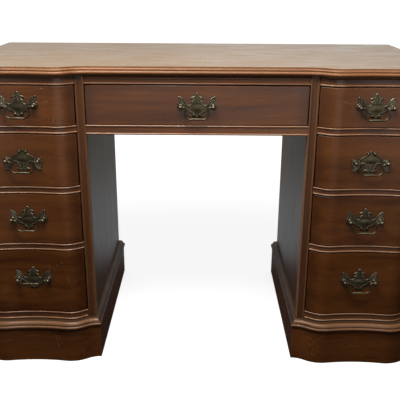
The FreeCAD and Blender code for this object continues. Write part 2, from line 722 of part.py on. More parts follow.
def drawer_box(name, half, seat, opening, x, z):
    """The two dovetailed sides, the back and the bottom of a drawer."""
    low, high, pitch, middles = tail_rows(opening)
    end_y = f"({BACK_PANEL_Y} - drawer_back_room)"
    length = f"({end_y} - {seat})"
    groove_low = "(slide_gap + drawer_bottom_rise)"
    groove_high = f"({groove_low} + drawer_bottom_thickness)"
    inside = f"({half} - drawer_side_thickness)"
    outline = [(end_y, low), (end_y, high), (seat, high)]
    for middle in reversed(middles):
        outline += tail_corners(seat, middle, pitch)
    outline.append((seat, low))
    pieces = []
    for hand, start, groove_at in (("left", f"(0 - {half})", f"(0 - {inside})"), ("right", inside, inside)):
        side = new_body(f"{name}_{hand}_side")
        pad(side, draw(sketch_on(side, "YZ_Plane", f"{name}_{hand}_outline", lift=start), outline),
            "drawer_side_thickness")
        groove = sketch_on(side, "YZ_Plane", f"{name}_{hand}_groove", lift=groove_at)
        draw(groove, [
            (seat, groove_low), (f"({end_y} + cut_overrun)", groove_low),
            (f"({end_y} + cut_overrun)", groove_high), (seat, groove_high),
        ])
        cut(side, groove, "groove_depth", backwards=(hand == "right"))
        pieces.append(place(side, x=x, z=z))
    pieces.append(board(
        f"{name}_back", f"({x} - {inside})", f"({end_y} - drawer_back_thickness)", f"({z} + {groove_high})",
        f"(2 * {inside})", "drawer_back_thickness", f"({high} - drawer_back_drop - {groove_high})",
    ))
    panel = board(
        f"{name}_panel", f"({x} - {inside} - groove_depth)", seat, f"({z} + {groove_low})",
        f"(2 * ({inside} + groove_depth))", length, "drawer_bottom_thickness",
    )
    tongue = board(
        f"{name}_tongue", f"({x} - {inside})", f"({seat} - groove_depth)", f"({z} + {groove_low})",
        f"(2 * {inside})", "groove_depth", "drawer_bottom_thickness",
    )
    bottom = doc.addObject("Part::Fuse", f"{name}_bottom")
    bottom.Base = panel
    bottom.Tool = tongue
    bottom.Refine = True
    pieces.append(bottom)
    return group(name, pieces)


def plate_outline(up):
    """The pull plate's outline, both halves, from the table of shares, tip up (1) or down (-1)."""
    half = "(post_spacing / 2 + plate_lobe)"

    def spot_of(x_share, z_share, sign):
        reach = "plate_rise" if z_share > 0 else "plate_drop"
        return f"({sign} * {x_share} * {half})", f"({up} * {z_share} * {reach})"

    outline = [spot_of(*PLATE_SHARES[0], 1)]
    for row in PLATE_SHARES[1:]:
        outline.append(spot_of(*row[:2], 1) + spot_of(*row[2:], 1))
    ends = [row[-2:] for row in PLATE_SHARES]
    for row, end in zip(reversed(PLATE_SHARES[1:]), reversed(ends[:-1])):
        outline.append(spot_of(*row[:2], -1) + spot_of(*end, -1))
    outline[-1] = outline[-1][:2] + outline[0]
    return outline


def pull_post(name, sign, shank):
    """A turned post: shank through the drawer front, collar, neck and a ball that is bored for the bail."""
    body = new_body(name)
    ball_meets_neck = "(sqrt(post_ball_radius^2 - post_neck_radius^2) - post_reach)"
    rim_share = "sqrt(0.5)"
    half_profile = [
        ("0", shank),
        ("shank_radius", shank),
        ("shank_radius", "0"),
        ("post_collar_radius", "0"),
        ("post_collar_radius", "(0 - post_collar_height)"),
        ("post_neck_radius", "(0 - post_collar_height)"),
        ("post_neck_radius", ball_meets_neck),
        (
            f"(post_ball_radius * {rim_share})", f"(0 - post_reach - post_ball_radius * {rim_share})",
            "0", "(0 - post_reach - post_ball_radius)",
        ),
    ]
    sketch = draw(sketch_on(body, "XY_Plane", f"{name}_profile"), half_profile)
    turned = body.newObject("PartDesign::Revolution", f"{name}_turned")
    turned.Profile = sketch
    turned.ReferenceAxis = (sketch, ["V_Axis"])
    turned.Angle = 360
    bore = sketch_on(body, "YZ_Plane", f"{name}_bore", lift=f"({sign} * (pin_seat + pin_end_gap))")
    circle(bore, "(0 - post_reach)", "0", "(pin_radius + pin_gap)")
    cut(body, bore, backwards=(sign != "1"))
    return body


def hex_nut(name):
    """A hexagonal nut, bored for the shank."""
    blank = doc.addObject("Part::Prism", f"{name}_blank")
    blank.Polygon = 6
    bind(blank, Circumradius="nut_radius", Height="nut_height")
    hole = doc.addObject("Part::Cylinder", f"{name}_hole")
    bind(hole, Radius="(shank_radius + shank_gap)", Height="nut_height")
    nut = doc.addObject("Part::Cut", name)
    nut.Base = blank
    nut.Tool = hole
    nut.Placement = FreeCAD.Placement(FreeCAD.Vector(), FreeCAD.Rotation(FreeCAD.Vector(1, 0, 0), -90))
    return nut


def pull_mount(name, seat, plate, shank, x, inside_y, post_z):
    """A plate with its two posts and their nuts. The posts seat on the plate at a depth in Y."""
    pieces = [plate]
    for hand, sign in (("left", "(-1)"), ("right", "1")):
        post = pull_post(f"{name}_{hand}_post", sign, shank)
        post_x = f"({x} + {sign} * post_spacing / 2)"
        pieces.append(place(post, post_x, seat, post_z))
        pieces.append(place(hex_nut(f"{name}_{hand}_nut"), post_x, inside_y, post_z))
    return group(name, pieces)


def plate_blank(name, depth, up=1):
    """The plate's outline with its two holes, thick enough to be formed to the drawer front."""
    body = new_body(name)
    pad(body, draw(sketch_on(body, "XZ_Plane", f"{name}_outline"), plate_outline(up)), depth)
    holes = sketch_on(body, "XZ_Plane", f"{name}_holes")
    for x in ("(0 - post_spacing / 2)", "(post_spacing / 2)"):
        circle(holes, x, "0", "(shank_radius + shank_gap)")
    cut(body, holes, both_ways=True)
    return body


def curved_plate(name, up, x, post_z):
    """A plate that is formed to the hollow of the serpentine, tip up (1) or down (-1)."""
    half_plate = "(post_spacing / 2 + plate_lobe + cut_overrun)"
    sag = f"({HOLLOW_RADIUS} - sqrt({HOLLOW_RADIUS}^2 - {half_plate}^2))"
    blank = plate_blank(f"{name}_blank", f"({sag} + plate_thickness + plate_gap)", up)
    formed = new_body(f"{name}_sheet")

    def bent(clear):
        radius = f"({HOLLOW_RADIUS} - {clear})"
        drop = f"({HOLLOW_CENTRE_Y} + sqrt({radius}^2 - {half_plate}^2))"
        return half_plate, drop, f"({HOLLOW_Y} - {clear})"

    near_x, near_y, near_middle = bent("plate_gap")
    far_x, far_y, far_middle = bent("(plate_gap + plate_thickness)")
    sheet_plan = [
        (f"(0 - {near_x})", near_y),
        ("0", near_middle, near_x, near_y),
        (far_x, far_y),
        ("0", far_middle, f"(0 - {far_x})", far_y),
    ]
    tall = "(2 * (plate_rise + plate_drop))"
    pad(formed, draw(sketch_on(formed, "XY_Plane", f"{name}_plan"), sheet_plan), tall, both_ways=True)
    plate = doc.addObject("Part::Common", name)
    plate.Base = place(blank, x, HOLLOW_Y, post_z)
    plate.Tool = place(formed, x=x, z=post_z)
    return plate


def make_bail(name, pivot_y, x, post_z):
    """A bent rod between the posts: a pin at each end, short arms, sides and a straight grip."""
    body = new_body(name)
    end_x = "(post_spacing / 2 - post_ball_radius - bail_end_gap)"
    neck_x = "(post_spacing / 2 - bail_inset)"
    bar_x = f"({neck_x} - bail_corner_bend)"
    rim_share = "(1 - sqrt(0.5))"
    neck = (f"({neck_x} + bail_neck_bend * {rim_share})", f"(0 - bail_neck_bend * {rim_share})")
    corner = (
        f"({neck_x} - bail_corner_bend * {rim_share})",
        f"(bail_corner_bend * {rim_share} - bail_drop)",
    )

    def across(place_pair):
        return (f"(0 - {place_pair[0]})", place_pair[1])

    bend_start = (f"({neck_x} + bail_neck_bend)", "0")
    side_top = (neck_x, "(0 - bail_neck_bend)")
    side_foot = (neck_x, "(bail_corner_bend - bail_drop)")
    bar_end = (bar_x, "(0 - bail_drop)")
    route = [
        (f"(0 - {end_x})", "0"),
        across(bend_start),
        across(neck) + across(side_top),
        across(side_foot),
        across(corner) + across(bar_end),
        bar_end,
        corner + side_foot,
        side_top,
        neck + bend_start,
        (end_x, "0"),
    ]
    spine = draw(sketch_on(body, "XZ_Plane", f"{name}_route"), route, closed=False)
    section = sketch_on(body, "YZ_Plane", f"{name}_section", lift=f"(0 - {end_x})")
    circle(section, "0", "0", "bail_radius")
    rod = body.newObject("PartDesign::AdditivePipe", f"{name}_rod")
    rod.Profile = section
    rod.Spine = (spine, [])
    doc.recompute()
    pin_length = "(post_ball_radius + bail_end_gap + pin_seat)"
    for hand, lift, backwards in (("left", f"(0 - {end_x})", True), ("right", end_x, False)):
        pin = circle(sketch_on(body, "YZ_Plane", f"{name}_{hand}_pin", lift=lift), "0", "0", "pin_radius")
        pad(body, pin, pin_length, backwards=backwards)
    return place(body, x=x, y=pivot_y, z=post_z)


def lift_bail(bail):
    """Swing a bail outwards and up about its pins."""
    turn = FreeCAD.Rotation(FreeCAD.Vector(-1, 0, 0), number("raised_bail_angle"))
    bail.Placement = FreeCAD.Placement(bail.Placement.Base, turn)
    bind(bail, Placement__Rotation__Angle="raised_bail_angle")


def make_drawers():
    """Four drawers in each pedestal and one over the kneehole, each with its pull and bail."""
    left_x = f"(0 - {PEDESTAL_X})"
    half = f"({OPENING_HALF} - drawer_gap)"
    curve = serpentine("0", half)
    rows = (
        ("top", FIRST_Z, "top_opening_height", "pull_rise"),
        ("second", SECOND_Z, "middle_opening_height", "pull_rise"),
        ("bottom", BOTTOM_Z, "bottom_opening_height", "bottom_pull_rise"),
    )
    posts = {}
    for row, floor_z, opening, rise in rows:
        above_floor = f"({opening} / 2 + {rise})"
        posts[row] = f"({floor_z} + {above_floor})"
        name = f"left_{row}_drawer"
        front = drawer_front(f"{name}_front", curve, half, "drawer_front_seat", opening, above_floor)
        node(place(front, x=left_x, z=floor_z))
        box = node(drawer_box(f"{name}_box", half, "drawer_front_seat", opening, left_x, floor_z))
        node(copy_of(front, f"right_{row}_drawer_front", PEDESTAL_STEP))
        node(copy_of(box, f"right_{row}_drawer_box", PEDESTAL_STEP))
        if row == "second":
            down = f"({THIRD_Z} - {SECOND_Z})"
            posts["third"] = f"({posts['second']} + {down})"
            for side, step in (("left", "0"), ("right", PEDESTAL_STEP)):
                node(copy_of(front, f"{side}_third_drawer_front", step, down))
                node(copy_of(box, f"{side}_third_drawer_box", step, down))

    # the second row's plates are mounted upside down, and the bail of the left bottom drawer stands raised
    shank = f"(drawer_front_seat - {CURVED_SEAT} + nut_height + shank_end)"
    mounts = {}
    for row, up in (("top", 1), ("second", -1)):
        plate = curved_plate(f"{row}_curved_plate", up, left_x, posts[row])
        mounts[row] = node(pull_mount(
            f"left_{row}_pull_plate", CURVED_SEAT, plate, shank, left_x, "drawer_front_seat", posts[row],
        ))
    bail = node(make_bail("left_top_bail", f"({CURVED_SEAT} - post_reach)", left_x, posts["top"]))
    for side, step in (("left", "0"), ("right", PEDESTAL_STEP)):
        for row, post_z in posts.items():
            model = "second" if row == "second" else "top"
            if (side, row) != ("left", model):
                node(copy_of(mounts[model], f"{side}_{row}_pull_plate", step, f"({post_z} - {posts[model]})"))
            if (side, row) != ("left", "top"):
                again = node(copy_of(bail, f"{side}_{row}_bail", step, f"({post_z} - {posts['top']})"))
                if (side, row) == ("left", "bottom"):
                    lift_bail(again)

    half = "(kneehole_width / 2 - centre_drawer_gap)"
    face = "bead_radius"
    inside_y = f"({face} + centre_front_thickness)"
    above_floor = "(top_opening_height / 2 - centre_pull_drop)"
    curve = [(f"(0 - {half})", face), (half, face)]
    front = drawer_front("centre_drawer_front", curve, half, inside_y, "top_opening_height", above_floor)
    node(place(front, z=FIRST_Z))
    node(drawer_box("centre_drawer_box", half, inside_y, "top_opening_height", "0", FIRST_Z))
    post_z = f"({FIRST_Z} + {above_floor})"
    plate = place(plate_blank("flat_plate", "plate_thickness"), "0", f"({face} - plate_gap)", post_z)
    seat = f"({face} - plate_gap - plate_thickness)"
    shank = f"({inside_y} - {seat} + nut_height + shank_end)"
    node(pull_mount("centre_pull_plate", seat, plate, shank, "0", inside_y, post_z))
    node(make_bail("centre_bail", f"({seat} - post_reach)", "0", post_z))


def write_parts():
    """Check every object and write each sub-part to its file."""
    doc.recompute()
    failed = [thing.Name for thing in doc.Objects if {"Invalid", "Error"} & set(thing.State)]
    shapes = {thing.Label: Part.getShape(thing) for thing in nodes}
    failed += [name for name, shape in shapes.items() if shape.isNull() or not shape.isValid()]
    if failed:
        raise RuntimeError("failed: " + ", ".join(failed))
    os.makedirs("parts", exist_ok=True)
    for name, shape in shapes.items():
        shape.exportStep(f"parts/{name}.step")
    print(len(shapes), "sub-parts,", sum(len(shape.Solids) for shape in shapes.values()), "solids")


make_desk_top()
make_panels()
make_stiles()
make_rails()
make_inner_case()
make_base_moulding()
make_plinth()
make_drawers()
write_parts()
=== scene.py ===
"""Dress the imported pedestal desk: wood and brass finishes, formed pulls and bails, stage and camera."""
import json
import math

import bmesh
import bpy
import numpy as np
from mathutils import Matrix, Vector


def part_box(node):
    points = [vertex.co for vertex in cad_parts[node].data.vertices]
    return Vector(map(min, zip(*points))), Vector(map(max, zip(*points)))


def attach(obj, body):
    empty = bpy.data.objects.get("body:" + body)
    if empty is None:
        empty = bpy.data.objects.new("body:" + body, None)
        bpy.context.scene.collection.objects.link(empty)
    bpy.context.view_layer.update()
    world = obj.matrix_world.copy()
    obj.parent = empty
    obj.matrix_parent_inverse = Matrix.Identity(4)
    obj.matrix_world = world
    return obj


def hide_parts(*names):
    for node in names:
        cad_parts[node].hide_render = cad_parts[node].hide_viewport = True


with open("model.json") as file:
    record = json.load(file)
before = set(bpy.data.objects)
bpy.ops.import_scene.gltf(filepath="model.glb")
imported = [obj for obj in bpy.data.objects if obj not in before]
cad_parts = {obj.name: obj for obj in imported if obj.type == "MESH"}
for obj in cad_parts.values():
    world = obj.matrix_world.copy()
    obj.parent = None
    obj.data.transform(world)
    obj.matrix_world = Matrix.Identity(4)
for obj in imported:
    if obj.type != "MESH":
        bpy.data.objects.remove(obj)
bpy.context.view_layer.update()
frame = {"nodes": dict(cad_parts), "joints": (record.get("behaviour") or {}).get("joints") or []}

bl_info = {
    "name": "Pedestal desk dressing",
    "version": (1, 0, 0),
    "blender": (4, 5, 0),
    "location": "3D View > Sidebar > Desk",
    "description": "Gives the packed pedestal desk its finishes and pulls, and sets its stage",
    "category": "Object",
}

NODES = frame["nodes"]
# The joint of each drawer's bail, by the drawer's name.
SWING_ENDING = "_bail_swing"
SWINGS = {
    joint["name"].removesuffix(SWING_ENDING): joint
    for joint in frame["joints"] if joint["name"].endswith(SWING_ENDING)
}
SIDES = ("left", "right")
ROWS = ("top", "second", "third", "bottom")
DRAWERS = [f"{side}_{row}" for side in SIDES for row in ROWS] + ["centre"]
MM = 0.001
MERGE_DISTANCE = 0.00001

FRONT_EDGE_SEGMENTS = 3
# Edges sharper than these angles stay sharp.
FRONT_CREASE = math.radians(30.0)
PULL_CREASE = math.radians(40.0)
BAIL_CREASE = math.radians(50.0)

# Layers of noise in the finishes: about how many features there are to the metre along the grain and across
# it, then the noise's detail, roughness and distortion.
MAHOGANY_GRAIN = {
    "figure": (1.5, 26.0, 6.0, 0.62, 0.7),
    "fibre": (9.0, 420.0, 3.0, 0.60, 0.0),
    "pore": (75.0, 1500.0, 1.0, 0.50, 0.0),
    "blotch": (3.0, 6.5, 3.0, 0.55, 0.0),
    "fleck": (22.0, 520.0, 2.0, 0.50, 0.0),
    "patch": (18.0, 60.0, 4.0, 0.60, 0.0),
    "smear": (8.0, 30.0, 4.0, 0.60, 0.0),
}
BARE_GRAIN = {
    "figure": (1.2, 34.0, 5.0, 0.58, 0.5),
    "fibre": (10.0, 520.0, 3.0, 0.60, 0.0),
    "stain": (4.0, 9.0, 4.0, 0.60, 0.0),
}
BRASS_SPOTS = (260.0, 260.0, 4.0, 0.60, 0.0)
BRASS_CLOUD = (55.0, 55.0, 2.0, 0.50, 0.0)
SHADING_SAMPLES = 6
# How far the dirt and painted shade in the corners of the wood, the dust and painted shade in the corners of
# bare wood, and the tarnish look for a neighbouring surface.
GRIME_AND_SHADE_REACH = 6.0 * MM
DUST_AND_SHADE_REACH = 20.0 * MM
TARNISH_REACH = 3.0 * MM
# Width of the darker ends of a front; half length, drop and radius of the painted shadow, with some waxy
# dirt, round a pull.
END_WIDTH = 35.0 * MM
WAX_SHADOW_HALF = 26.0 * MM
WAX_SHADOW_DROP = 6.0 * MM
WAX_SHADOW_RADIUS = 30.0 * MM

# Gloss of the drawer fronts: less of the bright room reaches the lower ones.
FRONT_SHINE = {"top": 0.60, "second": 0.50, "third": 0.40, "bottom": 0.18, "centre": 0.80}
# Scratches in the polish of some pieces: two ends x and z, and a width.
FRONT_MARKS = {
    "left_top": (
        ((-0.3600, 0.7140), (-0.3525, 0.7122), 0.0012),
        ((-0.3527, 0.6836), (-0.3430, 0.6832), 0.0010),
        ((-0.3310, 0.6480), (-0.3345, 0.6330), 0.0008),
    ),
    "right_top": (
        ((0.3357, 0.6880), (0.3500, 0.6826), 0.0010),
        ((0.3500, 0.6826), (0.3690, 0.6862), 0.0009),
    ),
    "left_bottom": (
        ((-0.3403, 0.2740), (-0.3390, 0.2722), 0.0014),
        ((-0.3720, 0.2668), (-0.3703, 0.2590), 0.0011),
        ((-0.3525, 0.2674), (-0.3503, 0.2664), 0.0013),
        ((-0.3260, 0.2360), (-0.3238, 0.2210), 0.0010),
    ),
}
PLINTH_MARKS = (
    ((-0.3640, 0.0780), (-0.3580, 0.0420), 0.0011),
    ((-0.3560, 0.0760), (-0.3490, 0.0500), 0.0007),
    ((-0.4420, 0.0730), (-0.4080, 0.0745), 0.0006),
    ((-0.5050, 0.0560), (-0.4750, 0.0640), 0.0007),
    ((0.4000, 0.0500), (0.4300, 0.0460), 0.0008),
    ((0.2860, 0.0720), (0.3010, 0.0700), 0.0009),
    ((0.2930, 0.0560), (0.2990, 0.0500), 0.0011),
    ((0.3030, 0.0640), (0.3090, 0.0560), 0.0010),
    ((0.3060, 0.0400), (0.3150, 0.0380), 0.0011),
    ((0.2900, 0.0330), (0.2950, 0.0220), 0.0010),
    ((0.3020, 0.0260), (0.3120, 0.0200), 0.0011),
    ((0.3170, 0.0530), (0.3190, 0.0430), 0.0009),
    ((0.3140, 0.0710), (0.3260, 0.0730), 0.0008),
    ((0.4130, 0.0760), (0.4180, 0.0660), 0.0009),
)

# Right half of a plate's outline from its tip to its foot: shares of the half width, and of the rise above
# or the drop below the posts. Each row is the middle and the end of one arc.
PLATE_TIP = (0.0, 1.0)
PLATE_ARCS = (
    (0.110, 0.879, 0.119, 0.712),
    (0.229, 0.697, 0.340, 0.588),
    (0.244, 0.552, 0.174, 0.461),
    (0.242, 0.424, 0.306, 0.309),
    (0.268, 0.267, 0.280, 0.200),
    (0.393, 0.109, 0.520, 0.242),
    (0.643, 0.503, 0.811, 0.691),
    (0.887, 0.715, 0.934, 0.630),
    (0.904, 0.479, 0.909, 0.291),
    (1.000, 0.015, 0.887, -0.293),
    (0.739, -0.236, 0.611, -0.121),
    (0.450, -0.400, 0.225, -0.571),
    (0.191, -0.650, 0.229, -0.743),
    (0.204, -0.893, 0.102, -0.821),
    (0.059, -0.914, 0.000, -1.000),
)
ARC_STEPS = 12
# Heights of the forms on a plate in millimetres, then the place and radius of its bosses, and the pitch and
# direction of its feathers.
RELIEF = {
    "wall": 1.5, "rim": 0.7, "leaf": 0.5, "lip": 0.18, "field": -0.45,
    "shield": 1.1, "rib": 0.6, "boss": 1.7, "feather": 0.45,
}
BOSS_PLACE = 7.6 - 20.3j
BOSS_RADIUS = 2.4
FEATHER_PITCH = 1.5
FEATHER_LEAN = (-0.67, 0.74)
# A grid point nearer to the outline than this share of the grid moves onto it.
DEEP_SHARE = 0.3
# Height over its surroundings, within a number of grid steps, at which brass is rubbed bright. Below the
# posts this brightness is cut, down to a least share, as painted shade on the plate's lower part.
PROUD = 0.50 * MM
PROUD_STEPS = 3
LIT_SHARE_FADE = 8.0 * MM
LEAST_LIT_SHARE = 0.30
POST_RUBBED = 0.30

# Posts, nuts and bails; a nut's seat lies its inset in front of the end of the shank.
SHANK_RADIUS = 2.2 * MM
WAIST_STEPS = 9
BALL_STEPS = 18
POST_SEGMENTS = 40
NUT_SIDES = 6
NUT_INSET = 4.7 * MM
PIN_RADIUS = 1.6 * MM
PIN_LENGTH = 6.2 * MM
ARM_GAP = 0.4 * MM
BAIL_INSET = 12.0 * MM
NECK_RADIUS = 5.0 * MM
CORNER_RADIUS = 11.0 * MM
ROD_SEGMENTS = 20
# Half the length of a bail's grip, how far it is rubbed there, and how far the whole rod is tarnished.
GRIP_HALF = 20.0 * MM
GRIP_RUBBED = 0.15
ROD_TARNISH = 0.20

# Lamps: name, place, aim, width and depth.
LAMPS = (
    ("key", (-0.35, -0.75, 1.75), (0.0, -0.15, 0.60), 1.0, 0.50),
    ("strip", (0.30, -0.95, 1.75), (0.0, -0.20, 0.45), 1.0, 0.08),
)
SENSOR_WIDTH = 36.0
WHITE = (1.0, 1.0, 1.0)
# Half width, front and back of the floor.
FLOOR_HALF = 30.0
FLOOR_FRONT = -0.75
FLOOR_BACK = 60.0
# The floor's glow stops under a plinth, this far behind its front, as a painted shadow.
PLINTH_SHADOW_INSET = 0.05


def colour(name, description, default):
    """A colour that a user may change."""
    return bpy.props.FloatVectorProperty(
        name=name, description=description, default=default, subtype="COLOR", min=0.0, max=1.0)


def length(name, description, default):
    """A length in metres that a user may change."""
    return bpy.props.FloatProperty(
        name=name, description=description, default=default, unit="LENGTH", precision=5)


def share(name, description, default):
    """A share from nothing to all that a user may change."""
    return bpy.props.FloatProperty(
        name=name, description=description, default=default, min=0.0, max=1.0, subtype="FACTOR")


def angle(name, description, degrees):
    """An angle that a user may change."""
    return bpy.props.FloatProperty(
        name=name, description=description, default=math.radians(degrees), subtype="ANGLE")


def power(name, description, default):
    """A lamp's power that a user may change."""
    return bpy.props.FloatProperty(name=name, description=description, default=default, unit="POWER")


class DeskWood(bpy.types.PropertyGroup):
    """Tones and wear of the wood."""
    streak: colour("Dark streak", "Darkest tone of the figure", (0.060, 0.0165, 0.0042))
    body: colour("Body", "Main tone of the polished mahogany", (0.152, 0.0460, 0.0098))
    light: colour("Light streak", "Lightest tone of the figure", (0.243, 0.0790, 0.0180))
    # Partly sun fading, partly a painted reflection of bright light on the up-facing top.
    faded_and_sheen: colour("Faded body", "Main tone of the sun-faded desk top", (0.285, 0.165, 0.0620))
    # Also the tone of the painted highlight on beads and mouldings, partly wear.
    worn: colour("Worn edge", "Tone where the polish is rubbed through", (0.420, 0.200, 0.0850))
    # Also painted shade: it darkens corners, grooves, gaps and surfaces that look to the side.
    grime_and_shade: colour("Grime", "Old wax and dust in the corners", (0.018, 0.0075, 0.0035))
    # A painted shadow just below each pull, with some waxy dirt.
    wax_and_shadow: colour("Old wax", "Dull wax and tarnish round the pulls", (0.050, 0.0300, 0.0150))
    bare: colour("Bare wood", "Drawer boxes and runners", (0.440, 0.270, 0.1350))
    bare_dark: colour("Bare streak", "Darker grain of the bare wood", (0.270, 0.150, 0.0700))
    wear: share("Wear", "How far the polish is rubbed from the edges", 0.55)
    eased: length("Eased edge", "Radius that the edges are rounded to in the shading", 0.0007)
    rubbed: length("Rubbed width", "How far from an edge the polish is rubbed", 0.0024)
    front_edge: length("Front edge", "Radius of the rounded edges of the drawer fronts", 0.0012)


class DeskBrass(bpy.types.PropertyGroup):
    """Tones of the pulls."""
    patina: colour("Patina", "Darkened brass", (0.120, 0.095, 0.0500))
    hollow: colour("Hollow", "Tarnish in the hollows", (0.020, 0.0150, 0.0075))
    rubbed: colour("Rubbed brass", "Bright brass on the high spots", (0.560, 0.470, 0.3400))
    metal: share("Metal", "How metallic the darkened brass looks", 0.85)
    lacquer: share("Lacquer", "How much of the brass keeps its clear lacquer", 0.18)


class DeskPulls(bpy.types.PropertyGroup):
    """Sizes of the pulls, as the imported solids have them."""
    half_width: length("Half width", "From the middle of a plate to its side", 0.0471)
    rise: length("Rise", "From the posts up to the tip of a plate", 0.0330)
    drop: length("Drop", "From the posts down to the foot of a plate", 0.0280)
    thickness: length("Thickness", "Thickness of a plate", 0.0020)
    post_half: length("Post distance", "From the middle of a plate to a post", 0.0381)
    post_reach: length("Post reach", "From a post's seat to the middle of its ball", 0.0130)
    hollow_radius: length("Hollow radius", "Radius that a curved plate is bent to", 0.48802)
    collar_radius: length("Collar radius", "Radius of a post's collar", 0.0054)
    ball_radius: length("Ball radius", "Radius of a post's ball", 0.0048)
    grid: length("Grid", "Spacing of the grid that a plate is worked out on", 0.0006)
    rod_radius: length("Rod radius", "Radius of a bail's rod", 0.0022)
    swell: length("Swell", "How much thicker the middle of a bail is", 0.0005)
    bail_drop: length("Bail drop", "From the posts to the middle of a bail's bar", 0.0280)


class DeskStage(bpy.types.PropertyGroup):
    """Camera, lamps and light from all round."""
    camera_place: bpy.props.FloatVectorProperty(
        name="Camera place", description="Where the camera stands", default=(0.0140, -1.67568, 0.9621),
        subtype="TRANSLATION", unit="LENGTH", precision=5)
    pitch: angle("Pitch", "How far the camera looks down", 19.841)
    yaw: angle("Yaw", "How far the camera looks to the right", -0.228)
    roll: angle("Roll", "How far the camera leans to the right", -0.320)
    lens: bpy.props.FloatProperty(
        name="Lens", description="Focal length on a 36 mm sensor", default=56.497, unit="CAMERA")
    key_power: power("Key lamp", "Power of the soft lamp above the front", 18.0)
    strip_power: power("Strip lamp", "Power of the narrow lamp that lights the beads", 6.0)
    rear_light: share("Rear light", "Soft light that reaches the back and the top from behind", 0.45)
    ambient: share("Ambient", "Strength of the light from all round", 0.06)


def opaque(tone):
    """A colour with an alpha of one."""
    return (*tone[:3], 1.0)


def scaled(tone, factor):
    """A colour made lighter or darker by a factor."""
    return tuple(channel * factor for channel in tone[:3])


class Bench:
    """Lays out the nodes of one material or of the world."""

    def __init__(self, owner):
        owner.use_nodes = True
        self.owner = owner
        self.tree = owner.node_tree
        self.tree.nodes.clear()

    def add(self, kind, feeds=None, **settings):
        """A node with its settings, and its sockets fed with values or with other sockets."""
        made = self.tree.nodes.new(kind)
        for name, value in settings.items():
            setattr(made, name, value)
        for socket, value in (feeds or {}).items():
            self.feed(made.inputs[socket], value)
        return made

    def feed(self, socket, value):
        """Link a socket to another one, or set its value."""
        if isinstance(value, bpy.types.NodeSocket):
            self.tree.links.new(value, socket)
        elif socket.type == "RGBA":
            socket.default_value = opaque(value)
        else:
            socket.default_value = value

    def finish(self, **sockets):
        """Add the material's shader and feed it; underscores in the names stand for spaces."""
        feeds = {name.replace("_", " "): value for name, value in sockets.items()}
        shader = self.add("ShaderNodeBsdfPrincipled", feeds)
        self.add("ShaderNodeOutputMaterial", {"Surface": shader.outputs[0]})
        return self.owner

    def math(self, operation, first, second=0.0):
        """A number from one number or two."""
        return self.add("ShaderNodeMath", {0: first, 1: second}, operation=operation).outputs[0]

    def product(self, first, *others):
        """The product of several numbers."""
        for other in others:
            first = self.math("MULTIPLY", first, other)
        return first

    def measure(self, operation, first, second=(0.0, 0.0, 0.0)):
        """A number from one vector or two, such as their dot product or distance."""
        return self.add("ShaderNodeVectorMath", {0: first, 1: second}, operation=operation).outputs["Value"]

    def within(self, value, low, high):
        """How far a value lies inside two limits; outside them it is below nothing."""
        return self.math("MINIMUM", self.math("SUBTRACT", value, low), self.math("SUBTRACT", high, value))

    def span(self, value, low, high, to_low=0.0, to_high=1.0):
        """Carry a range of values smoothly to another range, and hold it beyond the ends."""
        feeds = {0: value, 1: low, 2: high, 3: to_low, 4: to_high}
        return self.add("ShaderNodeMapRange", feeds, interpolation_type="SMOOTHSTEP").outputs[0]

    def mix(self, factor, first, second):
        """The first colour where the factor is nothing, the second where it is one."""
        return self.add("ShaderNodeMix", {0: factor, 6: first, 7: second}, data_type="RGBA").outputs[2]

    def ramp(self, factor, stops):
        """A colour ramp from a list of place and colour."""
        made = self.add("ShaderNodeValToRGB", {0: factor})
        bar = made.color_ramp.elements
        while len(bar) < len(stops):
            bar.new(1.0)
        for element, (place, tone) in zip(bar, stops):
            element.position = place
            element.color = opaque(tone)
        return made.outputs[0]

    def place(self):
        """Object coordinates."""
        return self.add("ShaderNodeTexCoord").outputs["Object"]

    def normal(self):
        """The surface's own normal."""
        return self.add("ShaderNodeNewGeometry").outputs["Normal"]

    def parts(self, vector):
        """The three numbers of a vector."""
        return self.add("ShaderNodeSeparateXYZ", {0: vector}).outputs

    def grain(self, layer, along, shift):
        """A layer of noise on Object coordinates, with one density along the grain and another across it."""
        run, cross, detail, roughness, distortion = layer
        scale = [run if axis == along else cross for axis in "XYZ"]
        vector = self.add("ShaderNodeMapping", {0: self.place(), 1: shift, 3: scale}).outputs[0]
        feeds = {"Vector": vector, "Scale": 1.0, "Detail": detail,
                 "Roughness": roughness, "Distortion": distortion}
        return self.add("ShaderNodeTexNoise", feeds).outputs[0]

    def rounded(self, radius):
        """The normal, rounded over near the edges."""
        return self.add("ShaderNodeBevel", {"Radius": radius}, samples=SHADING_SAMPLES).outputs[0]

    def near_edge(self, radius):
        """How far the rounded normal turns away from the surface's own: nothing away from the edges."""
        return self.math("SUBTRACT", 1.0, self.measure("DOT_PRODUCT", self.rounded(radius), self.normal()))

    def open_to_air(self, distance):
        """One on open surfaces, less in corners and grooves."""
        made = self.add("ShaderNodeAmbientOcclusion", {"Distance": distance}, samples=SHADING_SAMPLES)
        return made.outputs["AO"]

    def bump(self, height, strength, distance, rounded=None):
        """The normal tilted by a height, over the rounded normal where that is given."""
        feeds = {"Strength": strength, "Distance": distance, "Height": height}
        if rounded is not None:
            feeds["Normal"] = rounded
        return self.add("ShaderNodeBump", feeds).outputs[0]

    def scratch(self, start, end, width):
        """One on a line between two places x and z of a front, nothing beyond its width. The nearest place on
        the line is start + share (end - start), with the share of the way held between its ends."""
        run = Vector((end[0] - start[0], 0.0, end[1] - start[1]))
        feeds = {0: self.place(), 1: (-start[0], 0.0, -start[1]), 3: (1.0, 0.0, 1.0)}
        flat = self.add("ShaderNodeMapping", feeds).outputs[0]
        way = self.measure("DOT_PRODUCT", flat, run / run.length_squared)
        held = self.add("ShaderNodeClamp", {0: way}).outputs[0]
        foot = self.add("ShaderNodeVectorMath", {0: run, "Scale": held}, operation="SCALE").outputs[0]
        return self.span(self.measure("DISTANCE", flat, foot), 0.3 * width, width, 1.0, 0.0)


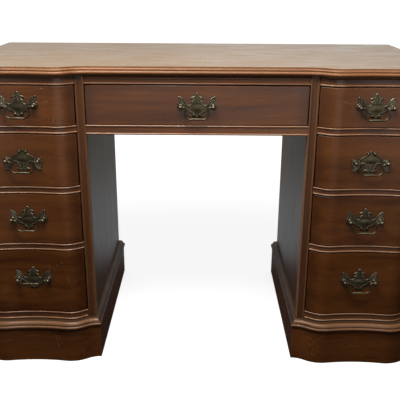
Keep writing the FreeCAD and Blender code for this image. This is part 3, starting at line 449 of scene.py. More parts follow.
def figured(bench, grain, tone):
    """Colour of the figure: a streaked ramp, darker fibres, lighter blotches, and the flecks in these."""
    wood = bpy.context.scene.desk_wood
    streak = scaled(wood.streak, tone)
    light = scaled(wood.light, tone)
    base = bench.ramp(grain["figure"], [(0.28, streak), (0.47, scaled(wood.body, tone)), (0.72, light)])
    base = bench.mix(bench.span(grain["fibre"], 0.35, 0.65, to_high=0.30), base, streak)
    base = bench.mix(bench.span(grain["blotch"], 0.40, 0.70, to_high=0.45), base, scaled(light, 0.85))
    flecks = bench.product(bench.span(grain["fleck"], 0.64, 0.74),
                           bench.span(grain["blotch"], 0.42, 0.60, to_high=0.40))
    return bench.mix(flecks, base, scaled(light, 1.5))


def mahogany(name, along, shift, tone=1.0, rough=0.31, shine=0.45, wear=1.0, beads="", polish=0.75,
             faded_and_sheen=False, smeared=1.0, sides=0.0, ends=None, marks=(), pull=None):
    """Polished mahogany: its figure, open pores, dirt with painted shade in the corners, and rubbed edges.
    Beads and mouldings, where the normal turns to the named axis, are lightened by the share of polish,
    partly as wear and partly as a painted highlight; turned right to X the wood is dull. The up-facing top
    may take a pale tone, partly sun fading and partly a painted reflection, and then its whole moulded edge
    is lightened. Smeared scales how much the gloss varies. Surfaces that look to the side get a share of dirt
    with painted shade and lose their gloss. Towards two ends x a front grows darker, and a painted shadow
    with some waxy dirt darkens it round the place x and z of a pull; marks are scratches."""
    wood = bpy.context.scene.desk_wood
    bench = Bench(bpy.data.materials.new(name))
    grain = {layer: bench.grain(sizes, along, shift) for layer, sizes in MAHOGANY_GRAIN.items()}
    normal = bench.parts(bench.normal())
    pores = bench.span(grain["pore"], 0.60, 0.72)
    base = figured(bench, grain, tone)
    dull = bench.span(grain["smear"], 0.3, 0.7, rough - 0.05 * smeared, rough + 0.07 * smeared)
    dull = bench.math("ADD", dull, bench.product(pores, 0.10))
    # A front grows darker towards its two ends x.
    if ends:
        inside = bench.within(bench.parts(bench.place())[0], *ends)
        near = bench.span(inside, 0.0, END_WIDTH, 0.55, 0.0)
        base = bench.mix(near, base, scaled(wood.streak, 0.7 * tone))
    # Painted highlight, partly wear: where the normal tilts to the named axis, beads and mouldings are
    # lightened.
    if beads:
        lean = bench.math("ABSOLUTE", normal["XYZ".index(beads)])
        polished = bench.span(lean, 0.12, 0.50, polish if faded_and_sheen else 0.0, polish)
        if beads == "Z":
            across = bench.math("ABSOLUTE", normal[0])
            polished = bench.product(polished, bench.span(across, 0.25, 0.60, 1.0, 0.0))
        if beads == "X":
            dull = bench.math("ADD", dull, bench.span(lean, 0.97, 0.995, to_high=0.45))
        base = bench.mix(polished, base, scaled(wood.worn, max(tone, 1.0)))
        dull = bench.math("SUBTRACT", dull, bench.product(polished, 0.12))
    # Painted reflection, partly sun fading: the up-facing top takes a pale tone.
    if faded_and_sheen:
        stops = [(0.28, scaled(wood.faded_and_sheen, 0.94)), (0.72, scaled(wood.faded_and_sheen, 1.06))]
        pale = bench.ramp(grain["figure"], stops)
        base = bench.mix(bench.span(normal[2], 0.90, 0.99), base, pale)
    base = bench.mix(bench.product(pores, 0.45), base, scaled(wood.streak, 0.5 * tone))
    # Painted shade with some dirt: corners, grooves and gaps between parts are darkened.
    open_air = bench.open_to_air(GRIME_AND_SHADE_REACH)
    corner_dirt_and_shade = bench.span(open_air, 0.35, 0.75, 0.80, 0.0)
    base = bench.mix(corner_dirt_and_shade, base, scaled(wood.grime_and_shade, max(tone, 0.5)))
    rubbed = bench.product(
        bench.span(bench.near_edge(wood.rubbed), 0.015, 0.16), bench.span(open_air, 0.55, 0.85),
        bench.span(grain["patch"], 0.38, 0.62), wood.wear * wear)
    base = bench.mix(rubbed, base, scaled(wood.worn, tone))
    # Painted shade with some dirt: surfaces that look to the side are darkened.
    if sides:
        sideways_dirt_and_shade = bench.span(bench.math("ABSOLUTE", normal[1]), 0.05, 0.25, sides, 0.0)
        base = bench.mix(sideways_dirt_and_shade, base, scaled(wood.grime_and_shade, tone))
        dull = bench.math("ADD", dull, bench.product(sideways_dirt_and_shade, 0.35))
    # A painted shadow, with some waxy dirt, a little below each pull.
    if pull:
        level = pull[1] - WAX_SHADOW_DROP
        wax_and_shadow = bench.scratch((pull[0] - WAX_SHADOW_HALF, level), (pull[0] + WAX_SHADOW_HALF, level), WAX_SHADOW_RADIUS)
        base = bench.mix(bench.product(wax_and_shadow, 0.60), base, wood.wax_and_shadow)
    for mark in marks:
        line = bench.product(bench.scratch(*mark), bench.span(grain["fibre"], 0.35, 0.60, 0.25, 0.80))
        base = bench.mix(line, base, wood.worn)
    height = bench.math("SUBTRACT", bench.product(grain["fibre"], 0.35), pores)
    bump = bench.bump(height, 0.25, 0.12 * MM, bench.rounded(wood.eased))
    return bench.finish(Base_Color=base, Roughness=dull, Normal=bump, Specular_IOR_Level=shine)


def bare_wood(name, along, shift, tone=1.0):
    """Planed secondary wood: pale ground, darker grain lines, fine fibres, stains, and dust with painted
    shade in the corners.
    """
    wood = bpy.context.scene.desk_wood
    bench = Bench(bpy.data.materials.new(name))
    grain = {layer: bench.grain(sizes, along, shift) for layer, sizes in BARE_GRAIN.items()}
    dark = scaled(wood.bare_dark, tone)
    base = bench.ramp(grain["figure"], [(0.32, dark), (0.62, scaled(wood.bare, tone))])
    base = bench.mix(bench.span(grain["fibre"], 0.35, 0.65, to_high=0.35), base, dark)
    base = bench.mix(bench.span(grain["stain"], 0.45, 0.75, to_high=0.40), base, scaled(dark, 0.7))
    # Painted shade with some dust: corners are darkened.
    corner_dirt_and_shade = bench.span(bench.open_to_air(DUST_AND_SHADE_REACH), 0.35, 0.85, 0.6, 0.0)
    base = bench.mix(corner_dirt_and_shade, base, scaled(wood.bare_dark, 0.4))
    rough = bench.span(grain["stain"], 0.3, 0.7, 0.62, 0.78)
    bump = bench.bump(grain["fibre"], 0.35, 0.2 * MM, bench.rounded(wood.eased))
    return bench.finish(Base_Color=base, Roughness=rough, Normal=bump, Specular_IOR_Level=0.18)


def antique_brass(name):
    """Darkened brass: mottled patina, tarnish in the hollows, high spots rubbed bright. The piece's own
    attribute tells how far each place is rubbed, from -1 in a hollow to 1 on a high spot."""
    brass = bpy.context.scene.desk_brass
    bench = Bench(bpy.data.materials.new(name))
    spots = bench.grain(BRASS_SPOTS, "X", (0.0, 0.0, 0.0))
    cloud = bench.grain(BRASS_CLOUD, "X", (3.0, 1.0, 2.0))
    worn = bench.add("ShaderNodeAttribute", attribute_name="worn").outputs["Fac"]
    base = bench.mix(bench.span(spots, 0.35, 0.7), scaled(brass.patina, 0.70), brass.patina)
    base = bench.mix(bench.span(cloud, 0.4, 0.7, to_high=0.5), base, scaled(brass.patina, 1.4))
    tarnish = bench.math("MAXIMUM", bench.span(worn, -0.8, -0.05, 0.9, 0.0),
                         bench.span(bench.open_to_air(TARNISH_REACH), 0.20, 0.70, 0.8, 0.0))
    base = bench.mix(tarnish, base, brass.hollow)
    rubbed = bench.product(bench.span(worn, 0.10, 0.90), bench.span(cloud, 0.3, 0.6, 0.6, 1.0))
    base = bench.mix(rubbed, base, brass.rubbed)
    rough = bench.math("SUBTRACT", bench.span(spots, 0.3, 0.7, 0.28, 0.40), bench.product(rubbed, 0.10))
    return bench.finish(Base_Color=base, Roughness=rough, Normal=bench.bump(spots, 0.2, 0.1 * MM),
                        Metallic=brass.metal, Coat_Weight=brass.lacquer, Coat_Roughness=0.14)


def coat_nodes(names, material):
    """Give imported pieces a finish; a missing piece is an error."""
    missing = [name for name in names if name not in NODES]
    if missing:
        raise RuntimeError("no such piece: " + ", ".join(missing))
    for name in names:
        mesh = NODES[name].data
        mesh.materials.clear()
        mesh.materials.append(material)


def both(ending):
    """The names of a left and a right piece."""
    return [f"{side}_{ending}" for side in SIDES]


def link_new(name, data):
    """A new object for a mesh, lamp or camera, linked to the scene."""
    made = bpy.data.objects.new(name, data)
    bpy.context.scene.collection.objects.link(made)
    return made


def smooth(mesh, crease):
    """Shade a mesh smooth but for edges sharper than an angle."""
    mesh.shade_smooth()
    mesh.set_sharp_from_angle(angle=crease)


def fade(value, start, end):
    """Nothing at the start and one at the end, in a straight line between them and held beyond."""
    return np.clip((value - start) / (end - start), 0.0, 1.0)


def bell(value, middle, width):
    """A bell curve, exp(-((value - middle) / width) squared)."""
    return np.exp(-((value - middle) / width) ** 2)


def arc_points(start, middle, end, count):
    """Points of the circle through three complex points, from the first up to but not including the last:
    centre + (start - centre) turned by equal steps of the angle between the ends."""
    ratio = (end - start) / (middle - start)
    centre = start - (start - middle) * (ratio - abs(ratio) ** 2) / (2j * ratio.imag)
    halfway = np.angle((middle - centre) / (start - centre))
    whole = np.angle((end - centre) / (start - centre))
    if halfway * whole < 0.0 or abs(whole) < abs(halfway):
        whole += 2.0 * np.pi * np.sign(halfway)
    turns = whole * np.arange(count) / count
    return centre + (start - centre) * np.exp(1j * turns)


def plate_outline(pulls):
    """The whole outline as complex points x + iz: the right half's arcs, then the same mirrored back up."""
    def spot(x_share, z_share):
        return complex(x_share * pulls.half_width, z_share * (pulls.rise if z_share > 0 else pulls.drop))

    start = spot(*PLATE_TIP)
    runs = []
    for row in PLATE_ARCS:
        end = spot(*row[2:])
        runs.append(arc_points(start, spot(*row[:2]), end, ARC_STEPS))
        start = end
    right = np.concatenate(runs + [np.array([start])])
    return np.concatenate([right, -np.conj(right[-2:0:-1])])


def nearest_on(outline, points):
    """For each point the nearest place on a closed outline, and whether the point lies inside it.
    A ray to the right crosses the outline an odd number of times from inside."""
    starts = outline[None, :]
    steps = np.roll(outline, -1)[None, :] - starts
    flat = points.reshape(-1, 1)
    along = np.clip(((flat - starts) * np.conj(steps)).real / np.abs(steps) ** 2, 0.0, 1.0)
    feet = starts + along * steps
    best = np.argmin(np.abs(flat - feet), axis=1)
    nearest = feet[np.arange(flat.shape[0]), best]
    ends = starts + steps
    straddles = (starts.imag > flat.imag) != (ends.imag > flat.imag)
    rise = np.where(steps.imag == 0.0, 1.0, steps.imag)
    crossing = starts.real + (flat.imag - starts.imag) * steps.real / rise
    inside = np.sum(straddles & (flat.real < crossing), axis=1) % 2 == 1
    return nearest.reshape(points.shape), inside.reshape(points.shape)


def relief(spots, depth_in):
    """Height of a plate's face over its back: a wall, an edge that rounds over more softly on the leaves, a
    lip, a sunk field with a domed shield, a rib up the middle, two bosses and feathered wings. It is a
    function of the place on the plate and of the distance to the outline, worked out in millimetres."""
    x, z = spots.real / MM, spots.imag / MM
    side = np.abs(x)
    depth = depth_in / MM
    leafy = fade(z, 4.0, 8.0) * fade(side, 22.0, 18.0)
    rim = np.sqrt(1.0 - (1.0 - fade(depth, 0.0, 1.0 + 1.2 * leafy)) ** 2)
    lip = RELIEF["lip"] * (1.0 - leafy) * bell(depth, 1.3, 0.55)
    field = RELIEF["field"] * fade(depth, 1.8, 3.0)
    shield = RELIEF["shield"] * bell(x, 0.0, 13.0) * bell(z, -4.0, 8.0)
    rib = RELIEF["rib"] * bell(x, 0.0, 1.6) * fade(z, 6.0, 12.0)
    bosses = RELIEF["boss"] * np.exp(-(np.abs(side + 1j * z - BOSS_PLACE) / BOSS_RADIUS) ** 3)
    wing = fade(side, 25.0, 30.0) * fade(depth, 0.0, 1.5)
    ridges = np.cos(FEATHER_PITCH * (FEATHER_LEAN[0] * side + FEATHER_LEAN[1] * z))
    inner = (lip + field + shield + rib + RELIEF["feather"] * wing * ridges) * rim
    return (RELIEF["wall"] + (RELIEF["rim"] + RELIEF["leaf"] * leafy) * rim + inner + bosses) * MM


def spread(values, mask, reach):
    """The mean of the values round each place of a grid, over the places that the mask keeps."""
    rows, columns = values.shape
    total = np.zeros(values.shape)
    count = np.zeros(values.shape)
    padded = np.pad(values * mask, reach)
    kept = np.pad(mask.astype(float), reach)
    for down in range(2 * reach + 1):
        for right in range(2 * reach + 1):
            total += padded[down:down + rows, right:right + columns]
            count += kept[down:down + rows, right:right + columns]
    return total / np.maximum(count, 1.0)


def cell_corners(grid):
    """The values of a grid at the four corners of each of its cells, in turn round the cell."""
    return np.stack([grid[:-1, :-1], grid[:-1, 1:], grid[1:, 1:], grid[1:, :-1]])


def rim_sides(quads, count):
    """The sides that belong to one quad only, as pairs of points numbered below a count."""
    sides = np.concatenate([quads[:, [turn, (turn + 1) % 4]] for turn in range(4)])
    key = np.sort(sides, axis=1) @ np.array([count, 1])
    _, first, uses = np.unique(key, return_index=True, return_counts=True)
    return sides[first[uses == 1]]


def pull_plate(pulls, up):
    """A plate as a grid of two parameters x and z clipped to its outline: points just outside move onto the
    outline, the face is lifted by the relief, the back is flat, and a wall joins them all round. Places that
    stand proud of their surroundings are rubbed; below the posts this is cut back as painted shade on the
    plate's lower part. Returned as x, z, height, how far each point is rubbed, and faces."""
    outline = plate_outline(pulls)
    step = pulls.grid
    across = np.arange(-pulls.half_width - 2 * step, pulls.half_width + 2 * step, step)
    upright = np.arange(-pulls.drop - 2 * step, pulls.rise + 2 * step, step)
    spots = across[None, :] + 1j * upright[:, None]
    nearest, inside = nearest_on(outline, spots)
    depth = np.where(inside, np.abs(spots - nearest), 0.0)
    deep = inside & (depth > DEEP_SHARE * step)
    kept = spread(deep.astype(float), np.ones(deep.shape, bool), 1) > 0.0
    spots = np.where(deep, spots, nearest)
    depth = np.where(deep, depth, 0.0)
    whole = np.all(cell_corners(kept), axis=0) & np.any(cell_corners(deep), axis=0)
    number = np.arange(deep.size).reshape(deep.shape)
    quads = cell_corners(number)[:, whole].T
    used, quads = np.unique(quads, return_inverse=True)
    quads = quads.reshape(-1, 4)
    count = used.size
    heights = relief(spots, depth)
    proud = (heights - spread(heights, kept, PROUD_STEPS)) / PROUD
    # Painted shade: the rubbed brightness is cut on the plate's lower part, as if lit from above.
    lit_share = np.clip(1.0 + spots.imag / LIT_SHARE_FADE, LEAST_LIT_SHARE, 1.0)
    worn = np.clip(proud * np.where(proud > 0.0, lit_share, 1.0), -1.0, 1.0).ravel()[used]
    spots = spots.ravel()[used]
    rim = rim_sides(quads, count)
    walls = np.stack([rim[:, 1], rim[:, 0], rim[:, 0] + count, rim[:, 1] + count], axis=1)
    faces = np.concatenate([quads, quads[:, ::-1] + count, walls])
    if up < 0:
        faces = faces[:, ::-1]
    height = np.concatenate([heights.ravel()[used], np.zeros(count)])
    worn = np.concatenate([worn, np.zeros(count)])
    return np.tile(spots.real, 2), np.tile(spots.imag, 2) * up, height, worn, faces


def tube_faces(rings, segments):
    """Faces of a tube of rings of points, each next to the one before: quads between the rings, and a fan of
    triangles round one more point at each end."""
    rows = np.arange(rings - 1)[:, None] * segments
    here = np.arange(segments)[None, :]
    there = (here + 1) % segments
    quads = np.stack([rows + here, rows + there, rows + segments + there, rows + segments + here], axis=-1)
    last = (rings - 1) * segments
    first_end = np.full(segments, rings * segments)
    first_fan = np.stack([there[0], here[0], first_end], axis=1)
    last_fan = np.stack([last + here[0], last + there[0], first_end + 1], axis=1)
    return quads.reshape(-1, 4), np.concatenate([first_fan, last_fan])


def turned(radii, heights, segments):
    """A lathe-turned solid about the Y axis: the profile of radius and height is carried round a circle, and
    a fan closes each end. Points are (r cos t, height, r sin t). Returned as points, quads and fans."""
    turn = np.linspace(0.0, 2.0 * np.pi, segments, endpoint=False)
    rings = np.stack([np.outer(radii, np.cos(turn)), np.repeat(heights[:, None], segments, axis=1),
                      np.outer(radii, np.sin(turn))], axis=-1)
    ends = np.array([[0.0, heights[0], 0.0], [0.0, heights[-1], 0.0]])
    quads, fans = tube_faces(len(radii), segments)
    if heights[0] < heights[-1]:
        quads, fans = quads[:, ::-1], fans[:, ::-1]
    return np.concatenate([rings.reshape(-1, 3), ends]), quads, fans


def post_profile(pulls, shank):
    """A post from the end of its shank to the front of its ball: radii, and heights towards the drawer. Shank
    and collar are straight runs, the waist's radius is a parabola of the height, and the ball is an arc."""
    collar = pulls.collar_radius
    reach = pulls.post_reach
    waist_height = np.linspace(-2.4 * MM, -reach + 3.4 * MM, WAIST_STEPS)
    waist = 3.0 * MM + 1.1 * MM * np.linspace(-1.0, 1.0, WAIST_STEPS) ** 2
    ball_turn = np.linspace(0.75, np.pi - 0.06, BALL_STEPS)
    radii = np.concatenate([
        [SHANK_RADIUS, SHANK_RADIUS, collar - 0.3 * MM, collar, collar, collar - 0.5 * MM],
        waist, pulls.ball_radius * np.sin(ball_turn),
    ])
    heights = np.concatenate([
        [shank, 0.0, 0.0, -0.3 * MM, -1.5 * MM, -2.1 * MM],
        waist_height, -reach + pulls.ball_radius * np.cos(ball_turn),
    ])
    return radii, heights


def nut_profile():
    """A nut from its seat to its chamfered end: radii of the corners, and heights behind the drawer front."""
    radii = np.array([4.9, 5.0, 5.0, 4.3, 2.4]) * MM
    heights = np.array([0.0, 0.2, 2.6, 3.2, 3.2]) * MM
    return radii, heights


def rod_route(pulls):
    """Half of a bail from the end of its pin to the middle of its bar: places x and z, and the rod's radius.
    Pin, arm, a quarter turn down, side, a quarter turn in and the bar follow each other; the sides draw in
    below the arms and belly out above the bar, each as a bell curve of the height, and the bar swells in the
    middle."""
    arm = pulls.post_half - pulls.ball_radius - ARM_GAP
    side = pulls.post_half - BAIL_INSET
    drop = pulls.bail_drop
    quarter = np.linspace(0.0, 0.5 * np.pi, 12)
    pin_x = np.array([arm + PIN_LENGTH, arm + 0.05 * MM, arm])
    neck_x = side + NECK_RADIUS - NECK_RADIUS * np.sin(quarter)
    neck_z = -NECK_RADIUS + NECK_RADIUS * np.cos(quarter)
    corner_x = side - CORNER_RADIUS + CORNER_RADIUS * np.cos(quarter)
    corner_z = -drop + CORNER_RADIUS - CORNER_RADIUS * np.sin(quarter)
    bar_x = np.linspace(side - CORNER_RADIUS, 0.0, 16)[1:]
    x = np.concatenate([pin_x, neck_x, corner_x, bar_x])
    z = np.concatenate([np.zeros(pin_x.size), neck_z, corner_z, np.full(bar_x.size, -drop)])
    radius = np.full(x.size, pulls.rod_radius)
    radius[:2] = PIN_RADIUS
    swell = pulls.swell * bell(x, 0.0, 13.0 * MM) * (z < -0.99 * drop)
    waist = 1.2 * MM * bell(z, -7.0 * MM, 3.5 * MM)
    belly = 1.6 * MM * bell(z, -17.0 * MM, 6.0 * MM)
    return x + belly - waist, z + swell, radius + swell


def bail_rod(pulls, raised):
    """A bail: a circle carried along the whole route in the XZ plane, then swung about the pins by an angle.
    Points are route + radius (n cos t + Y sin t), where n is the route's normal in its plane. The bar is
    rubbed where it is gripped. Returned as points, faces and how far each point is rubbed."""
    x, z, radius = rod_route(pulls)
    x = np.concatenate([x, -x[-2::-1]])
    z = np.concatenate([z, z[-2::-1]])
    radius = np.concatenate([radius, radius[-2::-1]])
    tangent = np.gradient(x) + 1j * np.gradient(z)
    tangent[[0, 1, 2, -3, -2, -1]] = -1.0
    normal = 1j * tangent / np.abs(tangent)
    turn = np.linspace(0.0, 2.0 * np.pi, ROD_SEGMENTS, endpoint=False)
    swing = radius[:, None] * np.cos(turn)[None, :]
    ring_x = x[:, None] + normal.real[:, None] * swing
    ring_z = z[:, None] + normal.imag[:, None] * swing
    ring_y = radius[:, None] * np.sin(turn)[None, :]
    points = np.stack([ring_x.ravel(), ring_y.ravel(), ring_z.ravel()], axis=1)
    points = np.concatenate([points, [[x[0], 0.0, z[0]], [x[-1], 0.0, z[-1]]]])
    gripped = np.exp(-(points[:, 0] / GRIP_HALF) ** 4) * (points[:, 2] < -0.8 * pulls.bail_drop)
    worn = GRIP_RUBBED * gripped - ROD_TARNISH
    y, up = points[:, 1].copy(), points[:, 2].copy()
    points[:, 1] = y * np.cos(raised) + up * np.sin(raised)
    points[:, 2] = up * np.cos(raised) - y * np.sin(raised)
    quads, fans = tube_faces(len(x), ROD_SEGMENTS)
    return points, quads.tolist() + fans.tolist(), worn


def read_field(items, field, kind, width=1):
    """One field of all a mesh's points, edges, corners or faces, as rows of a width."""
    values = np.empty(width * len(items), kind)
    items.foreach_get(field, values)
    return values.reshape(-1, width)


def eased_copy(node, name):
    """A copy of a packed drawer front whose front edges are marked to be rounded: those between a face that
    looks forward and one that doesn't, along the top, the foot and the two ends."""
    mesh = NODES[node].data.copy()
    mesh.name = name
    if "custom_normal" in mesh.attributes:
        mesh.attributes.remove(mesh.attributes["custom_normal"])
    shape = bmesh.new()
    shape.from_mesh(mesh)
    bmesh.ops.remove_doubles(shape, verts=shape.verts, dist=MERGE_DISTANCE)
    shape.to_mesh(mesh)
    shape.free()
    spots = read_field(mesh.vertices, "co", np.float32, 3)
    looks = read_field(mesh.polygons, "normal", np.float32, 3)
    corners = read_field(mesh.polygons, "loop_total", np.int32).ravel()
    edge_of = read_field(mesh.loops, "edge_index", np.int32).ravel()
    ends = spots[read_field(mesh.edges, "vertices", np.int32, 2)]
    forward = np.repeat(looks[:, 1], corners)
    least = np.full(len(ends), 1.0)
    most = np.full(len(ends), -1.0)
    np.minimum.at(least, edge_of, forward)
    np.maximum.at(most, edge_of, forward)
    border = np.zeros(len(ends), bool)
    for axis in (0, 2):
        for limit in (spots[:, axis].min(), spots[:, axis].max()):
            border |= np.all(np.abs(ends[:, :, axis] - limit) < 10.0 * MERGE_DISTANCE, axis=1)
    weight = (border & (least < -0.5) & (most > -0.5)).astype(np.float32)
    if not weight.any():
        raise RuntimeError(f"{node} has no front edge")
    mesh.attributes.new("bevel_weight_edge", "FLOAT", "EDGE").data.foreach_set("value", weight)
    smooth(mesh, FRONT_CREASE)
    return link_new(name, mesh)


def mesh_piece(name, points, faces, worn, material, crease):
    """A new piece from points, faces and how far each point is rubbed."""
    mesh = bpy.data.meshes.new(name)
    mesh.from_pydata(points.tolist(), [], faces)
    mesh.attributes.new("worn", "FLOAT", "POINT").data.foreach_set("value", worn.astype(np.float32))
    smooth(mesh, crease)
    mesh.materials.append(material)
    return link_new(name, mesh)


def seen_rays(bench):
    """One for rays from the camera, and one for these and those that polish, metal or glass send on."""
    rays = bench.add("ShaderNodeLightPath").outputs
    camera = rays["Is Camera Ray"]
    shiny = bench.math("MAXIMUM", rays["Is Glossy Ray"], rays["Is Transmission Ray"])
    return camera, bench.math("MAXIMUM", camera, shiny)


class DESK_OT_finish_top(bpy.types.Operator):
    """Finish the desk top: a pale up-facing tone, partly sun fading and partly a painted reflection, a
    moulded edge lightened as a painted highlight, polished, grain along its length
    """
    bl_idname = "desk.finish_top"
    bl_label = "Finish the top"

    def execute(self, context):
        # A tone of 1.5 lightens the moulded edge as a painted highlight.
        coat_nodes(["desk_top"],
                   mahogany("top_mahogany", "X", (0.3, 1.7, 0.2), tone=1.5, rough=0.34, shine=0.42, wear=0.7,
                            beads="Z", polish=0.30, faded_and_sheen=True))
        return {"FINISHED"}


class DESK_OT_finish_case(bpy.types.Operator):
    """Finish the stiles, rails and panels of the case"""
    bl_idname = "desk.finish_case"
    bl_label = "Finish the case"

    def execute(self, context):
        for turn, side in enumerate(SIDES):
            coat_nodes([f"{side}_stiles"],
                       mahogany(f"{side}_stile_mahogany", "Z", (2.0 + turn, 0.4, 0.0), tone=0.66, shine=0.5,
                                beads="X", polish=0.55))
            # A strong polish share gives the rail beads a painted highlight, partly wear.
            coat_nodes([f"{side}_drawer_rails"],
                       mahogany(f"{side}_rail_mahogany", "X", (0.0, 3.0 + turn, 1.0), shine=0.75,
                                beads="Z", polish=0.95))
            coat_nodes([f"{side}_outer_panel", f"{side}_inner_panel"],
                       mahogany(f"{side}_panel_mahogany", "Z", (4.0, turn, 0.6), tone=0.55, rough=0.44,
                                shine=0.30, wear=0.5, smeared=0.25))
        # A lower tone darkens the upper rails as painted shade under the top.
        coat_nodes(["kneehole_top_rail", "kneehole_back_rail"],
                   mahogany("upper_rail_mahogany", "X", (0.4, 5.0, 2.0), tone=0.85, beads="Z", polish=0.25))
        # A lighter tone and a strong polish share give its beads a painted highlight, partly wear.
        coat_nodes(["kneehole_lower_rail"],
                   mahogany("lower_rail_mahogany", "X", (0.9, 4.0, 2.5), tone=1.1, shine=0.75,
                            beads="Z", polish=0.95))
        return {"FINISHED"}


class DESK_OT_finish_base(bpy.types.Operator):
    """Finish the base mouldings and the scuffed plinths"""
    bl_idname = "desk.finish_base"
    bl_label = "Finish the base"

    def execute(self, context):
        # The sides of the base mouldings and plinths are darkened as painted shade, with some dirt.
        coat_nodes(both("base_moulding"),
                   mahogany("base_mahogany", "X", (1.0, 2.0, 5.0), tone=0.75, shine=0.35, wear=1.2,
                            beads="Z", polish=0.55, sides=0.75))
        coat_nodes(both("plinth"),
                   mahogany("plinth_mahogany", "X", (6.0, 0.5, 1.5), tone=1.05, rough=0.45, shine=0.20,
                            sides=0.40, marks=PLINTH_MARKS))
        return {"FINISHED"}


class DESK_OT_finish_drawers(bpy.types.Operator):
    """Round the front edges of the drawer fronts and finish each with a figure of its own"""
    bl_idname = "desk.finish_drawers"
    bl_label = "Finish the drawers"

    def execute(self, context):
        for turn, drawer in enumerate(DRAWERS):
            low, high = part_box(f"{drawer}_drawer_front")
            pull_x, _, pull_z = SWINGS[drawer]["pos_m"]
            piece = eased_copy(f"{drawer}_drawer_front", f"{drawer}_eased_front")
            rounding = piece.modifiers.new("eased_edges", "BEVEL")
            rounding.limit_method = "WEIGHT"
            rounding.width = context.scene.desk_wood.front_edge
            rounding.segments = FRONT_EDGE_SEGMENTS
            rounding.harden_normals = True
            piece.data.materials.clear()
            piece.data.materials.append(
                mahogany(f"{drawer}_front_mahogany", "X", (0.7 * turn, 1.3 * turn, 2.1 * turn),
                         shine=FRONT_SHINE[drawer.split("_")[-1]], ends=(low.x, high.x),
                         marks=FRONT_MARKS.get(drawer, ()), pull=(pull_x, pull_z)))
            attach(piece, f"{drawer}_drawer")
            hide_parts(f"{drawer}_drawer_front")
        return {"FINISHED"}


class DESK_OT_finish_inside(bpy.types.Operator):
    """Leave the drawer boxes, runners, cleats, blocks and backs in bare wood"""
    bl_idname = "desk.finish_inside"
    bl_label = "Finish the inside"

    def execute(self, context):
        coat_nodes([f"{drawer}_drawer_box" for drawer in DRAWERS] + both("drawer_runners"),
                   bare_wood("drawer_box_wood", "Y", (0.0, 0.0, 0.0)))
        coat_nodes(["kneehole_runners", "top_cleats", "bottom_boards"],
                   bare_wood("runner_wood", "Y", (2.0, 1.0, 0.0), tone=0.8))
        coat_nodes(["plinth_blocks"] + both("back_panel"),
                   bare_wood("back_wood", "Z", (1.0, 3.0, 2.0), tone=0.7))
        return {"FINISHED"}


class DESK_OT_make_pulls(bpy.types.Operator):
    """Make the nine plates with their posts and nuts"""
    bl_idname = "desk.make_pulls"
    bl_label = "Make the pulls"

    def execute(self, context):
        pulls = context.scene.desk_pulls
        brass = antique_brass("antique_brass_plates")
        plates = {up: pull_plate(pulls, up) for up in (1, -1)}
        for drawer in DRAWERS:
            node = f"{drawer}_pull_plate"
            low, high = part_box(node)
            pivot = Vector(SWINGS[drawer]["pos_m"])
            up = 1 if high.z - pivot.z > pivot.z - low.z else -1
            x, z, height, worn, faces = plates[up]
            back = np.full(x.size, pulls.post_reach + pulls.thickness)
            if drawer != "centre":
                radius = pulls.hollow_radius
                ring = pulls.post_half + pulls.collar_radius
                back += np.sqrt(radius ** 2 - x ** 2) - math.sqrt(radius ** 2 - ring ** 2)
            points = np.stack([x, back - height, z], axis=1)
            faces = faces.tolist()
            shank_end = high.y - pivot.y
            turnings = (
                (*post_profile(pulls, shank_end - pulls.post_reach), POST_SEGMENTS, pulls.post_reach),
                (*nut_profile(), NUT_SIDES, shank_end - NUT_INSET),
            )
            for side in (-1.0, 1.0):
                for radii, heights, segments, lift in turnings:
                    shape, quads, fans = turned(radii, heights, segments)
                    faces += (quads + len(points)).tolist() + (fans + len(points)).tolist()
                    points = np.concatenate([points, shape + np.array([side * pulls.post_half, lift, 0.0])])
            rubbed = np.concatenate([worn, np.full(len(points) - len(worn), POST_RUBBED)])
            points += np.array(pivot)
            piece = mesh_piece(f"{drawer}_formed_pull", points, faces, rubbed, brass, PULL_CREASE)
            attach(piece, f"{drawer}_drawer")
            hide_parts(node)
        return {"FINISHED"}


class DESK_OT_make_bails(bpy.types.Operator):
    """Make the nine bails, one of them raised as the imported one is"""
    bl_idname = "desk.make_bails"
    bl_label = "Make the bails"

    def execute(self, context):
        pulls = context.scene.desk_pulls
        brass = antique_brass("antique_brass_bails")
        lowest = max(swing["range_deg"][0] for swing in SWINGS.values())
        for drawer in DRAWERS:
            swing = SWINGS[drawer]
            raised = math.radians(lowest - swing["range_deg"][0])
            points, faces, worn = bail_rod(pulls, raised)
            points += np.array(swing["pos_m"])
            piece = mesh_piece(f"{drawer}_formed_bail", points, faces, worn, brass, BAIL_CREASE)
            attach(piece, f"{drawer}_handle")
            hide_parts(f"{drawer}_bail")
        return {"FINISHED"}


